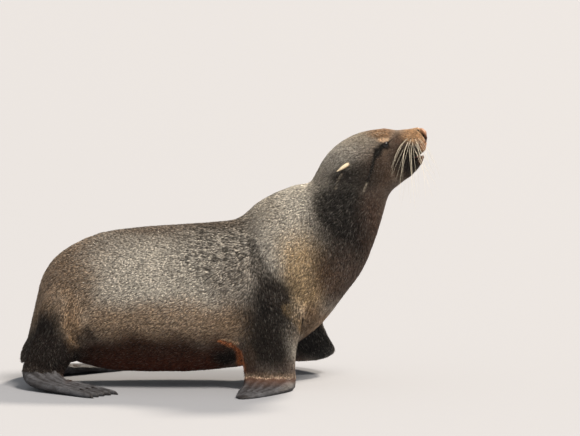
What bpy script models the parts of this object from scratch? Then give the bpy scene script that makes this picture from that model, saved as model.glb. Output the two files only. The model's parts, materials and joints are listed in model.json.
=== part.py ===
"""Cape fur seal, an adult female, standing in mid-stride with the left fore flipper lifted.

Metres, +Z up, the head towards +X and the animal's right side towards -Y. The body is lofted whole, its
limbs are melted into it, and thin cuts then part it into the pieces that a person would name.
"""

import math

import bmesh
import bpy
from mathutils import Matrix, Vector

# ---------------------------------------------------------------- driving dimensions
GAP = 0.0003  # between pieces that touch
VOXEL = 0.0042  # the grain at which the lofts are melted into one body
MELT_ROUNDS = 5  # smoothing of the whole melted body
SOFT_ROUNDS = 60  # more smoothing where a limb leaves the body
BODY_TRIANGLES = 4550  # of the whole body before it is parted
RING_POINTS = 40
STEPS = 5  # rings between two stations

EYE_RADIUS = 0.0125
EYE_DETAIL = 2
EYE_CENTRE = Vector((0.4225, 0.0525, 0.6485))  # of the left eye; the right one mirrors it
EAR_ROOT = Vector((0.3300, 0.0790, 0.6005))
EAR_TIP = Vector((0.2900, 0.0990, 0.5800))
EAR_RADIUS = 0.0064

# Trunk, neck and head: (back x, back z, belly x, belly z, half width, sag), from the tail root to the nose.
# The sag is how much wider a section is low down than high up; the head's sections narrow towards the chin.
BODY = [
    (-0.549, 0.098, -0.512, 0.082, 0.022, 0.07),
    (-0.538, 0.142, -0.440, 0.072, 0.064, 0.07),
    (-0.521, 0.214, -0.385, 0.052, 0.104, 0.07),
    (-0.497, 0.298, -0.335, 0.040, 0.130, 0.07),
    (-0.446, 0.358, -0.290, 0.034, 0.147, 0.07),
    (-0.350, 0.405, -0.235, 0.032, 0.163, 0.07),
    (-0.240, 0.422, -0.168, 0.032, 0.176, 0.07),
    (-0.130, 0.430, -0.095, 0.033, 0.185, 0.07),
    (-0.030, 0.437, -0.008, 0.041, 0.188, 0.07),
    (0.030, 0.448, 0.062, 0.052, 0.186, 0.07),
    (0.084, 0.491, 0.125, 0.076, 0.180, 0.07),
    (0.136, 0.519, 0.186, 0.108, 0.169, 0.07),
    (0.182, 0.536, 0.254, 0.163, 0.155, 0.07),
    (0.209, 0.541, 0.313, 0.238, 0.139, 0.06),
    (0.224, 0.547, 0.363, 0.307, 0.124, 0.04),
    (0.233, 0.560, 0.394, 0.380, 0.112, 0.02),
    (0.244, 0.582, 0.416, 0.448, 0.105, 0.00),
    (0.258, 0.606, 0.431, 0.502, 0.099, -0.04),
    (0.278, 0.631, 0.445, 0.524, 0.095, -0.08),
    (0.308, 0.655, 0.461, 0.537, 0.090, -0.14),
    (0.347, 0.675, 0.475, 0.548, 0.079, -0.22),
    (0.386, 0.685, 0.489, 0.557, 0.062, -0.27),
    (0.422, 0.689, 0.501, 0.568, 0.048, -0.27),
    (0.453, 0.685, 0.513, 0.580, 0.0405, -0.20),
    (0.483, 0.687, 0.523, 0.595, 0.0365, -0.12),
    (0.508, 0.692, 0.529, 0.614, 0.032, -0.05),
    (0.526, 0.691, 0.534, 0.640, 0.026, 0.00),
    (0.537, 0.682, 0.538, 0.658, 0.016, 0.00),
]
BODY_FULLNESS = 2.15  # exponent of the section, 2 is an ellipse

# Flippers: (leading edge, trailing edge, thickness), from inside the body to the tip.
FORE_RIGHT = [
    ((0.196, -0.080, 0.340), (0.030, -0.080, 0.330), 0.080),
    ((0.208, -0.124, 0.250), (0.012, -0.122, 0.235), 0.096),
    ((0.202, -0.148, 0.180), (0.022, -0.142, 0.165), 0.088),
    ((0.187, -0.158, 0.118), (0.034, -0.150, 0.108), 0.068),
    ((0.182, -0.158, 0.072), (0.041, -0.152, 0.064), 0.054),
    ((0.183, -0.151, 0.032), (0.044, -0.153, 0.032), 0.048),
    ((0.182, -0.168, 0.011), (0.040, -0.178, 0.012), 0.039),
    ((0.170, -0.208, 0.008), (0.032, -0.224, 0.009), 0.026),
    ((0.144, -0.256, 0.005), (0.025, -0.264, 0.006), 0.018),
    ((0.108, -0.308, 0.004), (0.021, -0.304, 0.004), 0.014),
    ((0.074, -0.346, 0.003), (0.022, -0.334, 0.003), 0.012),
    ((0.048, -0.368, 0.002), (0.029, -0.362, 0.002), 0.010),
]
FORE_LEFT = [
    ((0.205, 0.080, 0.330), (0.040, 0.080, 0.310), 0.080),
    ((0.238, 0.122, 0.235), (0.050, 0.118, 0.200), 0.094),
    ((0.252, 0.140, 0.165), (0.086, 0.134, 0.122), 0.082),
    ((0.268, 0.152, 0.118), (0.130, 0.146, 0.074), 0.062),
    ((0.283, 0.162, 0.090), (0.158, 0.156, 0.052), 0.050),
    ((0.291, 0.180, 0.072), (0.164, 0.176, 0.044), 0.040),
    ((0.286, 0.214, 0.060), (0.158, 0.210, 0.040), 0.030),
    ((0.268, 0.258, 0.052), (0.148, 0.252, 0.036), 0.022),
    ((0.238, 0.302, 0.045), (0.138, 0.292, 0.033), 0.016),
    ((0.204, 0.338, 0.039), (0.132, 0.324, 0.031), 0.013),
    ((0.172, 0.362, 0.034), (0.134, 0.350, 0.030), 0.011),
    ((0.154, 0.372, 0.032), (0.142, 0.366, 0.030), 0.009),
]
# The hind flippers mirror each other, so only the right one is given.
HIND_RIGHT = [
    ((-0.365, -0.070, 0.215), (-0.490, -0.060, 0.230), 0.084),
    ((-0.378, -0.102, 0.145), (-0.514, -0.084, 0.162), 0.090),
    ((-0.408, -0.120, 0.088), (-0.535, -0.098, 0.102), 0.078),
    ((-0.436, -0.128, 0.048), (-0.551, -0.118, 0.052), 0.062),
    ((-0.440, -0.134, 0.024), (-0.540, -0.168, 0.024), 0.045),
    ((-0.420, -0.162, 0.013), (-0.497, -0.222, 0.013), 0.030),
    ((-0.378, -0.194, 0.008), (-0.448, -0.268, 0.008), 0.022),
    ((-0.332, -0.222, 0.006), (-0.404, -0.310, 0.006), 0.016),
    ((-0.296, -0.244, 0.004), (-0.372, -0.338, 0.004), 0.013),
]
LEADING_WEIGHT = 0.28  # how much thicker a flipper is towards its leading edge

# Rounded masses under the skin: (centre, radii); each has a twin on the other side.
MASSES = [
    ((0.130, 0.098, 0.300), (0.100, 0.078, 0.125)),  # shoulder
    ((-0.425, 0.086, 0.175), (0.088, 0.062, 0.110)),  # thigh
    ((0.497, 0.0265, 0.650), (0.029, 0.0190, 0.0190)),  # whisker pad
    ((0.470, 0.0245, 0.640), (0.034, 0.0200, 0.0220)),  # side of the muzzle
    ((0.416, 0.0400, 0.665), (0.028, 0.0165, 0.0140)),  # brow
    ((0.4225, 0.0440, 0.6485), (0.0220, 0.0180, 0.0165)),  # eyelids
    ((0.385, 0.0470, 0.606), (0.050, 0.0300, 0.0320)),  # cheek
]

# Where a limb or a mass runs into the body, it is smoothed: (centre, reach), on both sides.
SOFT_PLACES = [
    ((0.115, 0.150, 0.270), 0.150),
    ((0.110, 0.120, 0.130), 0.060),
    ((-0.440, 0.080, 0.185), 0.110),
    ((0.395, 0.060, 0.610), 0.045),
    ((0.400, 0.040, 0.668), 0.022),
    ((0.446, 0.036, 0.650), 0.020),
    ((0.470, 0.030, 0.640), 0.024),
]

HIND_RAYS = 5
RAY_RADIUS = 0.0085
RAY_OVERHANG = 0.022  # of the toe flaps past the web
TAIL_LINE = [((-0.508, 0.0, 0.122), 0.030), ((-0.536, 0.0, 0.090), 0.023), ((-0.557, 0.0, 0.058), 0.012)]


# ---------------------------------------------------------------- helpers
def clear_scene():
    for old in list(bpy.data.objects):
        bpy.data.objects.remove(old, do_unlink=True)


def add_collection(name):
    collection = bpy.data.collections.new(name)
    bpy.context.scene.collection.children.link(collection)
    return collection


def add_material(name, colour, roughness):
    material = bpy.data.materials.new(name)
    material.use_nodes = True
    shader = material.node_tree.nodes["Principled BSDF"]
    shader.inputs["Base Color"].default_value = (*colour, 1.0)
    shader.inputs["Roughness"].default_value = roughness
    shader.inputs["Metallic"].default_value = 0.0
    return material


def add_object(name, bm, collection, helper=False):
    mesh = bpy.data.meshes.new(name)
    bmesh.ops.recalc_face_normals(bm, faces=bm.faces)
    bm.to_mesh(mesh)
    bm.free()
    obj = bpy.data.objects.new(name, mesh)
    collection.objects.link(obj)
    if helper:
        obj.hide_render = True
        obj.display_type = "WIRE"
    return obj


def flatten(row):
    """The numbers of a station, whatever tuples they stand in."""
    numbers = []
    for value in row:
        numbers.extend(flatten(value) if isinstance(value, (tuple, Vector)) else [value])
    return numbers


def catmull_rom(p, q, r, s, t):
    """The value a share t of the way from q to r, on a smooth curve that also passes through p and s."""
    return 0.5 * (2 * q + (r - p) * t + (2 * p - 5 * q + 4 * r - s) * t**2 + (3 * q - p - 3 * r + s) * t**3)


def smooth_rows(rows, steps):
    """More stations, on a smooth curve through the given ones."""
    rows = [flatten(row) for row in rows]
    padded = [rows[0]] + rows + [rows[-1]]
    smoothed = []
    for before, start, end, after in zip(padded, padded[1:], padded[2:], padded[3:]):
        for step in range(steps):
            t = step / steps
            smoothed.append([
                catmull_rom(*four, t) for four in zip(before, start, end, after)
            ])
    return smoothed + [rows[-1]]


def superellipse(angle, fullness):
    """Cosine and sine of the angle, pushed out towards a rounded box."""
    c = math.cos(angle)
    s = math.sin(angle)
    power = 2.0 / fullness
    return math.copysign(abs(c) ** power, c), math.copysign(abs(s) ** power, s)


def loft(bm, rings):
    """A closed skin over rings of points, capped at both ends."""
    made = [[bm.verts.new(point) for point in ring] for ring in rings]
    for ring, following in zip(made, made[1:]):
        for i in range(len(ring)):
            j = (i + 1) % len(ring)
            bm.faces.new((ring[i], ring[j], following[j], following[i]))
    bm.faces.new(made[0])
    bm.faces.new(list(reversed(made[-1])))


def ring_angles():
    return [2 * math.pi * i / RING_POINTS for i in range(RING_POINTS)]


# ---------------------------------------------------------------- the forms that make the body
def body_rings():
    rings = []
    for back_x, back_z, belly_x, belly_z, half_width, sag in smooth_rows(BODY, STEPS):
        back = Vector((back_x, 0.0, back_z))
        belly = Vector((belly_x, 0.0, belly_z))
        centre = (back + belly) / 2
        half_depth = (back - belly) / 2
        ring = []
        for angle in ring_angles():
            up, out = superellipse(angle, BODY_FULLNESS)
            width = half_width * (1 - sag * up)
            ring.append(centre + half_depth * up + Vector((0.0, width * out, 0.0)))
        rings.append(ring)
    return rings


def flipper_rings(stations):
    rows = smooth_rows(stations, STEPS)
    centres = [Vector([(a + b) / 2 for a, b in zip(row[:3], row[3:6])]) for row in rows]
    rings = []
    for index, row in enumerate(rows):
        chord = Vector(row[:3]) - Vector(row[3:6])
        onward = centres[min(index + 1, len(rows) - 1)] - centres[max(index - 1, 0)]
        normal = chord.cross(onward).normalized()
        ring = []
        for angle in ring_angles():
            half_thick = row[6] / 2 * (1 + LEADING_WEIGHT * math.cos(angle))
            ring.append(centres[index] + chord / 2 * math.cos(angle) + normal * half_thick * math.sin(angle))
        rings.append(ring)
    return rings


def tube_rings(line):
    """Round rings along a line of (centre, radius)."""
    rows = smooth_rows(line, STEPS)
    rings = []
    for index, row in enumerate(rows):
        onward = Vector(rows[min(index + 1, len(rows) - 1)][:3]) - Vector(rows[max(index - 1, 0)][:3])
        turn = onward.to_track_quat("Z", "Y")
        rings.append([
            Vector(row[:3]) + turn @ Vector((math.cos(a), math.sin(a), 0.0)) * row[3] for a in ring_angles()
        ])
    return rings


def mirrored(stations):
    """The same stations on the other side of the middle plane."""
    return [
        tuple((value[0], -value[1], value[2]) if isinstance(value, tuple) else value for value in station)
        for station in stations
    ]


def hind_toes(stations):
    """Five toes that fan over the web from the instep and end in flaps past its edge."""
    middle = len(stations) // 2
    instep = stations[middle]
    web = stations[-1]
    lines = []
    for toe in range(HIND_RAYS):
        share = (toe + 0.5) / HIND_RAYS
        root = Vector(instep[0]).lerp(Vector(instep[1]), share)
        edge = Vector(web[0]).lerp(Vector(web[1]), share)
        reach = (edge - root).normalized() * RAY_OVERHANG * (1.25 - 0.5 * math.sin(math.pi * share))
        lines.append([
            (root, RAY_RADIUS),
            (root.lerp(edge, 0.5), RAY_RADIUS),
            (edge, RAY_RADIUS * 0.85),
            (edge + reach, RAY_RADIUS * 0.6),
        ])
    return lines


def add_mass(bm, centre, radii):
    place = Matrix.Translation(centre) @ Matrix.Diagonal((*radii, 1.0))
    bmesh.ops.create_uvsphere(bm, u_segments=24, v_segments=16, radius=1.0, matrix=place)


def evaluated_mesh(obj):
    graph = bpy.context.evaluated_depsgraph_get()
    return bpy.data.meshes.new_from_object(obj.evaluated_get(graph), depsgraph=graph)


def remake(obj, bm):
    """Puts an edited copy of the evaluated mesh back in the object, in place of its modifiers."""
    obj.modifiers.clear()
    bm.to_mesh(obj.data)
    bm.free()


def evaluated_bmesh(obj):
    mesh = evaluated_mesh(obj)
    bm = bmesh.new()
    bm.from_mesh(mesh)
    bpy.data.meshes.remove(mesh)
    return bm


def both_sides(point):
    return Vector(point), Vector((point[0], -point[1], point[2]))


def soften(bm, centre, reach):
    """Smooths a round patch, hardest in its middle, so that its edge stays unseen."""
    for share in (1.0, 0.8, 0.6):
        patch = [vert for vert in bm.verts if (vert.co - centre).length < reach * share]
        for _ in range(SOFT_ROUNDS // 3):
            bmesh.ops.smooth_vert(
                bm, verts=patch, factor=0.5, use_axis_x=True, use_axis_y=True, use_axis_z=True
            )


def stand_on_floor(bm):
    """What would sink into the floor is cut off flat at z = 0."""
    everything = bm.verts[:] + bm.edges[:] + bm.faces[:]
    cut = bmesh.ops.bisect_plane(
        bm, geom=everything, dist=1e-6, plane_co=(0, 0, 0), plane_no=(0, 0, -1), clear_outer=True
    )
    rim = [part for part in cut["geom_cut"] if isinstance(part, bmesh.types.BMEdge)]
    bmesh.ops.holes_fill(bm, edges=rim, sides=0)
    bmesh.ops.triangulate(bm, faces=[face for face in bm.faces if len(face.verts) > 3])


def whole_body(helpers):
    """Every form melted into one closed body with soft joins."""
    bm = bmesh.new()
    loft(bm, body_rings())
    loft(bm, tube_rings(TAIL_LINE))
    for stations in (FORE_RIGHT, FORE_LEFT, HIND_RIGHT, mirrored(HIND_RIGHT)):
        loft(bm, flipper_rings(stations))
    for stations in (HIND_RIGHT, mirrored(HIND_RIGHT)):
        for toe in hind_toes(stations):
            loft(bm, tube_rings(toe))
    for centre, radii in MASSES:
        for side in both_sides(centre):
            add_mass(bm, side, radii)
    body = add_object("whole_body", bm, helpers, helper=True)

    melt = body.modifiers.new("melt", "REMESH")
    melt.mode = "VOXEL"
    melt.voxel_size = VOXEL
    relax = body.modifiers.new("relax", "SMOOTH")
    relax.factor = 0.5
    relax.iterations = MELT_ROUNDS
    fine = evaluated_bmesh(body)
    for centre, reach in SOFT_PLACES:
        for side in both_sides(centre):
            soften(fine, side, reach)
    triangles = sum(len(face.verts) - 2 for face in fine.faces)
    remake(body, fine)

    thin = body.modifiers.new("thin", "DECIMATE")
    thin.ratio = BODY_TRIANGLES / triangles
    light = evaluated_bmesh(body)
    stand_on_floor(light)
    remake(body, light)
    return body


# ---------------------------------------------------------------- the thin cuts
def add_fence(name, points, along, half_width, helpers):
    """A cutter as thin as the gap: a bent line swept to both sides of itself."""
    along = Vector(along).normalized()
    bm = bmesh.new()
    verts = [bm.verts.new(Vector(point) - along * half_width) for point in points]
    edges = [bm.edges.new(pair) for pair in zip(verts, verts[1:])]
    swept = bmesh.ops.extrude_edge_only(bm, edges=edges)["geom"]
    moved = [part for part in swept if isinstance(part, bmesh.types.BMVert)]
    bmesh.ops.translate(bm, verts=moved, vec=along * half_width * 2)
    bmesh.ops.solidify(bm, geom=bm.faces[:], thickness=GAP)
    return add_object(name, bm, helpers, helper=True)


def add_wedge(name, tip, upper, lower, half_width, helpers):
    """The parted lips: a wedge that opens forwards from the corner of the mouth."""
    bm = bmesh.new()
    verts = [bm.verts.new((x, -half_width, z)) for x, z in (tip, upper, lower)]
    face = bm.faces.new(verts)
    swept = bmesh.ops.extrude_face_region(bm, geom=[face])["geom"]
    moved = [part for part in swept if isinstance(part, bmesh.types.BMVert)]
    bmesh.ops.translate(bm, verts=moved, vec=(0, half_width * 2, 0))
    return add_object(name, bm, helpers, helper=True)


def add_ball(name, centre, radius, collection, helper=False):
    bm = bmesh.new()
    bmesh.ops.create_icosphere(bm, subdivisions=EYE_DETAIL, radius=radius, matrix=Matrix.Translation(centre))
    return add_object(name, bm, collection, helper)


def subtract(obj, cutter):
    cut = obj.modifiers.new("cut", "BOOLEAN")
    cut.operation = "DIFFERENCE"
    cut.object = cutter
    remake(obj, evaluated_bmesh(obj))


MIDDLE = (0.0, 1.0, 0.0)
LENGTHWAYS = (1.0, 0.0, 0.0)
MIDDLE_CUTS = {
    "cut_head": ([(0.240, 0.0, 0.636), (0.470, 0.0, 0.495)], 0.160),
    "cut_neck": ([(0.206, 0.0, 0.566), (0.388, 0.0, 0.292)], 0.200),
    "cut_chest": ([(-0.060, 0.0, 0.500), (-0.060, 0.0, 0.000)], 0.250),
    "cut_hips": ([(-0.360, 0.0, 0.450), (-0.360, 0.0, 0.024)], 0.176),
    "cut_tail": ([(-0.566, 0.0, 0.130), (-0.468, 0.0, 0.061)], 0.050),
    "cut_nose": ([(0.508, 0.0, 0.705), (0.521, 0.0, 0.668), (0.550, 0.0, 0.645)], 0.060),
    "cut_jaw": ([(0.560, 0.0, 0.6360), (0.450, 0.0, 0.5922), (0.478, 0.0, 0.528)], 0.080),
}
MOUTH = ((0.468, 0.5994), (0.560, 0.6455), (0.560, 0.6275))
# Limb roots: the inner half of an egg-shaped shell round each root, (centre, radii).
ROOT_SHELLS = {
    "cut_arm_right": ((0.110, -0.200, 0.065), (0.135, 0.090, 0.190)),
    "cut_arm_left": ((0.170, 0.195, 0.080), (0.148, 0.112, 0.175)),
    "cut_leg_right": ((-0.475, -0.165, 0.060), (0.118, 0.115, 0.140)),
    "cut_leg_left": ((-0.475, 0.165, 0.060), (0.118, 0.115, 0.140)),
}


def add_root_shell(name, centre, radii, helpers):
    """Half of a thin egg shell, closed towards the body and open away from it."""
    bm = bmesh.new()
    place = Matrix.Translation(centre) @ Matrix.Diagonal((*radii, 1.0))
    bmesh.ops.create_uvsphere(bm, u_segments=16, v_segments=10, radius=1.0, matrix=place)
    outwards = (0.0, math.copysign(1.0, centre[1]), 0.0)
    everything = bm.verts[:] + bm.edges[:] + bm.faces[:]
    bmesh.ops.bisect_plane(
        bm, geom=everything, dist=1e-6, plane_co=centre, plane_no=outwards, clear_outer=True
    )
    bmesh.ops.solidify(bm, geom=bm.faces[:], thickness=GAP)
    return add_object(name, bm, helpers, helper=True)


def add_fences(helpers):
    for name, (points, half_width) in MIDDLE_CUTS.items():
        yield add_fence(name, points, MIDDLE, half_width, helpers)
    yield add_wedge("cut_lips", *MOUTH, 0.080, helpers)
    for name, (centre, radii) in ROOT_SHELLS.items():
        yield add_root_shell(name, centre, radii, helpers)
    wrist = [(0.110, -0.225, 0.040), (0.110, -0.090, 0.040)]
    yield add_fence("cut_wrist_right", wrist, LENGTHWAYS, 0.110, helpers)
    wrist = [(0.2275, 0.158, 0.005), (0.2275, 0.202, 0.115)]
    yield add_fence("cut_wrist_left", wrist, (0.97, 0.0, 0.24), 0.100, helpers)
    for side, name in ((-1, "cut_ankle_right"), (1, "cut_ankle_left")):
        ankle = [(-0.500, 0.200 * side, 0.060), (-0.500, 0.068 * side, 0.060)]
        yield add_fence(name, ankle, LENGTHWAYS, 0.100, helpers)


# ---------------------------------------------------------------- the pieces
LEATHER = ("bare_leather", (0.085, 0.092, 0.105), 0.55)
COAT = ("grizzled_coat", (0.175, 0.145, 0.115), 0.85)
CREAM = ("ear_coat", (0.52, 0.42, 0.30), 0.80)
NOSE_SKIN = ("nose_skin", (0.10, 0.060, 0.040), 0.45)
EYE_WET = ("wet_eye", (0.012, 0.009, 0.008), 0.08)

# Each piece of the parted body: a point near its middle, and its material.
PIECES = {
    "head": ((0.390, 0.0, 0.630), COAT),
    "lower_jaw": ((0.494, 0.0, 0.593), COAT),
    "nose": ((0.520, 0.0, 0.674), NOSE_SKIN),
    "neck": ((0.325, 0.0, 0.495), COAT),
    "chest": ((0.110, 0.0, 0.290), COAT),
    "belly": ((-0.210, 0.0, 0.225), COAT),
    "hips": ((-0.430, 0.0, 0.210), COAT),
    "tail": ((-0.545, 0.0, 0.085), COAT),
    "fore_limb_right": ((0.112, -0.155, 0.120), COAT),
    "fore_limb_left": ((0.195, 0.150, 0.125), COAT),
    "fore_flipper_right": ((0.095, -0.230, 0.010), LEATHER),
    "fore_flipper_left": ((0.200, 0.260, 0.040), LEATHER),
    "hind_limb_right": ((-0.480, -0.110, 0.110), COAT),
    "hind_limb_left": ((-0.480, 0.110, 0.110), COAT),
    "hind_flipper_right": ((-0.430, -0.220, 0.012), LEATHER),
    "hind_flipper_left": ((-0.430, 0.220, 0.012), LEATHER),
}


def loose_pieces(obj):
    """The object's closed bodies, each as its own bmesh."""
    source = evaluated_bmesh(obj)
    left = set(source.verts)
    while left:
        found = {left.pop()}
        edge_of_search = list(found)
        while edge_of_search:
            for edge in edge_of_search.pop().link_edges:
                for vert in edge.verts:
                    if vert in left:
                        left.remove(vert)
                        found.add(vert)
                        edge_of_search.append(vert)
        piece = source.copy()
        keep = {vert.index for vert in found}
        strangers = [vert for vert in piece.verts if vert.index not in keep]
        bmesh.ops.delete(piece, geom=strangers, context="VERTS")
        yield piece
    source.free()


def middle_of(bm):
    low = Vector([min(vert.co[axis] for vert in bm.verts) for axis in range(3)])
    high = Vector([max(vert.co[axis] for vert in bm.verts) for axis in range(3)])
    return (low + high) / 2


def finish(obj, material):
    obj.data.materials.clear()
    obj.data.materials.append(material)
    obj.data.shade_smooth()
    obj.data.set_sharp_from_angle(angle=math.radians(50))


def part_body(body, seal, helpers, materials):
    """Cuts the body along every fence and names what falls apart."""
    for fence in add_fences(helpers):
        subtract(body, fence)
    wanted = dict(PIECES)
    for bm in loose_pieces(body):
        middle = middle_of(bm)
        name = min(wanted, key=lambda key: (Vector(wanted[key][0]) - middle).length)
        print("piece", name, [round(value, 3) for value in middle], len(bm.faces))
        piece = add_object(name, bm, seal)
        finish(piece, materials[wanted.pop(name)[1][0]])


def add_eye(name, side, seal, helpers, body, material):
    centre = Vector((EYE_CENTRE.x, EYE_CENTRE.y * side, EYE_CENTRE.z))
    socket = add_ball("socket_" + name, centre, EYE_RADIUS + GAP, helpers, helper=True)
    subtract(body, socket)
    finish(add_ball(name, centre, EYE_RADIUS, seal), material)


def add_ear(name, side, seal, body_skin, material):
    """A rolled pinna: a thin cone that leaves the head low, points backwards and is cut to fit it."""
    root = Vector((EAR_ROOT.x, EAR_ROOT.y * side, EAR_ROOT.z))
    tip = Vector((EAR_TIP.x, EAR_TIP.y * side, EAR_TIP.z))
    inner = root + Vector((0.004, -0.010 * side, 0.002))
    belly = root.lerp(tip, 0.45) + Vector((0.0, 0.003 * side, 0.001))
    line = [
        (inner, EAR_RADIUS * 0.7), (root, EAR_RADIUS), (belly, EAR_RADIUS * 0.95), (tip, EAR_RADIUS * 0.3)
    ]
    bm = bmesh.new()
    loft(bm, [ring[::4] for ring in tube_rings(line)[::2]])
    ear = add_object(name, bm, seal)
    subtract(ear, body_skin)
    finish(ear, material)


def outer_skin(body, helpers):
    """The body grown by the gap, to trim what sits on it."""
    bm = evaluated_bmesh(body)
    bm.normal_update()
    for vert in bm.verts:
        vert.co += vert.normal * GAP * 1.3
    return add_object("body_skin", bm, helpers, helper=True)


def stand_on_origin(seal):
    """Puts the origin under the middle of the finished seal's box."""
    points = [vert.co for obj in seal.objects for vert in obj.data.vertices]
    middle_x, middle_y = [
        (min(point[axis] for point in points) + max(point[axis] for point in points)) / 2 for axis in (0, 1)
    ]
    offset = Vector((middle_x, middle_y, 0.0))
    for obj in seal.objects:
        obj.data.transform(Matrix.Translation(-offset))
    print("origin moved to", [round(value, 5) for value in offset])


clear_scene()
seal = add_collection("fur_seal")
helpers = add_collection("helpers")
materials = {look[0]: add_material(*look) for look in (COAT, LEATHER, CREAM, NOSE_SKIN, EYE_WET)}
body = whole_body(helpers)
skin = outer_skin(body, helpers)
for side, which in ((1, "left"), (-1, "right")):
    add_ear("ear_" + which, side, seal, skin, materials[CREAM[0]])
    add_eye("eye_" + which, side, seal, helpers, body, materials[EYE_WET[0]])
part_body(body, seal, helpers, materials)
stand_on_origin(seal)
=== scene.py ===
# %% [markdown]
# # A Cape fur seal in mid-stride
#
# The seal stands on one fore flipper and both hind flippers, the other fore flipper lifted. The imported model
# gives its body in twenty pieces with thin cuts between them. Here one skin closes over those pieces, the
# face and the flippers are sculpted into it, and a coat of short flat hair grows from it.

# %% Load the frame
import json
import math

import bmesh
import bpy
import numpy as np
from mathutils import Matrix, Vector
from mathutils.bvhtree import BVHTree

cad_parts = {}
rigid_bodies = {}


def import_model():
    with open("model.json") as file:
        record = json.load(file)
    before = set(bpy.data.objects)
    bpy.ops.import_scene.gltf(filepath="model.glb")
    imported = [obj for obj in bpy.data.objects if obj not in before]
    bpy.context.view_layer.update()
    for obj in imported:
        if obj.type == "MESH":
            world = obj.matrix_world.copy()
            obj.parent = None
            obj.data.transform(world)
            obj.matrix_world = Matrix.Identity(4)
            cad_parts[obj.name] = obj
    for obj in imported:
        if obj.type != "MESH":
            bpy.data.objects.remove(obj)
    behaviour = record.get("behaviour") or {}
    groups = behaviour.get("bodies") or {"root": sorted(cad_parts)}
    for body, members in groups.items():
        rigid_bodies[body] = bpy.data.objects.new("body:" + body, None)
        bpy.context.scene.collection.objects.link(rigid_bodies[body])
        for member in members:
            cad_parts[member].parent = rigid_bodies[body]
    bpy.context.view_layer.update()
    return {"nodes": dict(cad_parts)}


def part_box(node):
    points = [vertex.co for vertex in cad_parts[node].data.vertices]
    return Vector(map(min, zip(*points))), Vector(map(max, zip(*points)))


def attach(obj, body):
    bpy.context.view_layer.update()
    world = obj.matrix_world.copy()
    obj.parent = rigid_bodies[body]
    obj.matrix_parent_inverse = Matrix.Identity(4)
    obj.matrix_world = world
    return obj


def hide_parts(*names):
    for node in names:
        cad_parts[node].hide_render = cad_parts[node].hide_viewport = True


for leftover in list(bpy.data.objects):
    bpy.data.objects.remove(leftover)
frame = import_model()

# %% [markdown]
# ## The camera
#
# A long lens from far away flattens the animal, as binoculars do. The camera looks at the seal's right side,
# down on it by five degrees.

# %% Camera
CAMERA_DISTANCE = 12.0
CAMERA_RISE = math.radians(5)
FRAME_WIDTH = 1.566  # metres across the view at the seal
SENSOR_WIDTH = 36.0  # millimetres
AIM = Vector((0.1812, -0.0021, 0.447))


def add_object(name, data):
    thing = bpy.data.objects.new(name, data)
    bpy.context.scene.collection.objects.link(thing)
    return thing


camera = add_object("camera", bpy.data.cameras.new("camera"))
camera.location = AIM + CAMERA_DISTANCE * Vector((0, -math.cos(CAMERA_RISE), math.sin(CAMERA_RISE)))
camera.rotation_euler = (AIM - camera.location).to_track_quat("-Z", "Y").to_euler()
camera.data.sensor_width = SENSOR_WIDTH
camera.data.lens = SENSOR_WIDTH * CAMERA_DISTANCE / FRAME_WIDTH
camera.data.clip_end = 200.0
bpy.context.scene.camera = camera
print("lens:", round(camera.data.lens, 1), "mm")

# %% [markdown]
# ## Landmarks
#
# Everything on a face sits where the eyes and the nose say it does, so those places come from the model's own
# pieces. The animal is the same on both sides, so a place is given once, with its distance from the middle.
# Everything in and round the mouth is measured from the line between the lips.

# %% Landmarks
EYES = {side: (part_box("eye_" + side)[0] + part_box("eye_" + side)[1]) / 2 for side in ("left", "right")}
EYE_RADIUS = (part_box("eye_left")[1].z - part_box("eye_left")[0].z) / 2
MIDDLE = (EYES["left"].y + EYES["right"].y) / 2
SIDES = {"left": 1.0, "right": -1.0}
FLESH = [name for name in frame["nodes"] if not name.startswith(("eye_", "ear_"))]
MOUTH_LINE = [(0.479, 0.600), (0.510, 0.6095), (0.545, 0.6215)]  # x and z, from its corner to the front
FACE_BACK, FACE_BOTTOM = 0.385, 0.53  # x and z where the face begins


def both_sides(points):
    """The same points on the left and on the right of the middle plane; y is the distance from it."""
    for sign in SIDES.values():
        yield np.array([(x, MIDDLE + sign * y, z) for x, y, z in points])


def above_mouth(points):
    """How far each point is above the line between the lips."""
    return points[:, 2] - np.interp(points[:, 0], *zip(*MOUTH_LINE))


print("eyes", round(EYES["left"].y - EYES["right"].y, 4), "m apart; flesh nodes:", len(FLESH))

# %% [markdown]
# ## One skin over the pieces
#
# The cuts between the pieces must not show. The pieces are copied, each swollen by a hair so that it overlaps
# its neighbours, and a voxel remesh turns them into one closed surface of even quads. A Boolean union would
# also join them, but it keeps their long thin triangles, which can't be sculpted. The skin has over 300,000
# points, so they are moved all at once, as one NumPy array.

# %% Mesh helpers
def read(items, field, width, kind=float):
    """One field of all vertices, edges or loops, as an array with a row for each of them."""
    flat = np.empty(len(items) * width, dtype=kind)
    items.foreach_get(field, flat)
    return flat.reshape(-1, width)


def points_of(mesh):
    return read(mesh.vertices, "co", 3)


def normals_of(mesh):
    return read(mesh.vertices, "normal", 3)


def edges_of(mesh):
    return read(mesh.edges, "vertices", 2, np.int64)


def triangles_of(mesh):
    return read(mesh.loops, "vertex_index", 1, np.int64).reshape(-1, 3)


def put_points(mesh, points):
    mesh.vertices.foreach_set("co", points.ravel())
    mesh.update()


def evaluated(obj):
    """The object's mesh as its modifiers leave it, with the modifiers taken off."""
    graph = bpy.context.evaluated_depsgraph_get()
    mesh = bpy.data.meshes.new_from_object(obj.evaluated_get(graph), depsgraph=graph)
    obj.modifiers.clear()
    obj.data = mesh
    return mesh


def add_piece(name, bm):
    mesh = bpy.data.meshes.new(name)
    bm.to_mesh(mesh)
    bm.free()
    return add_object(name, mesh)


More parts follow.
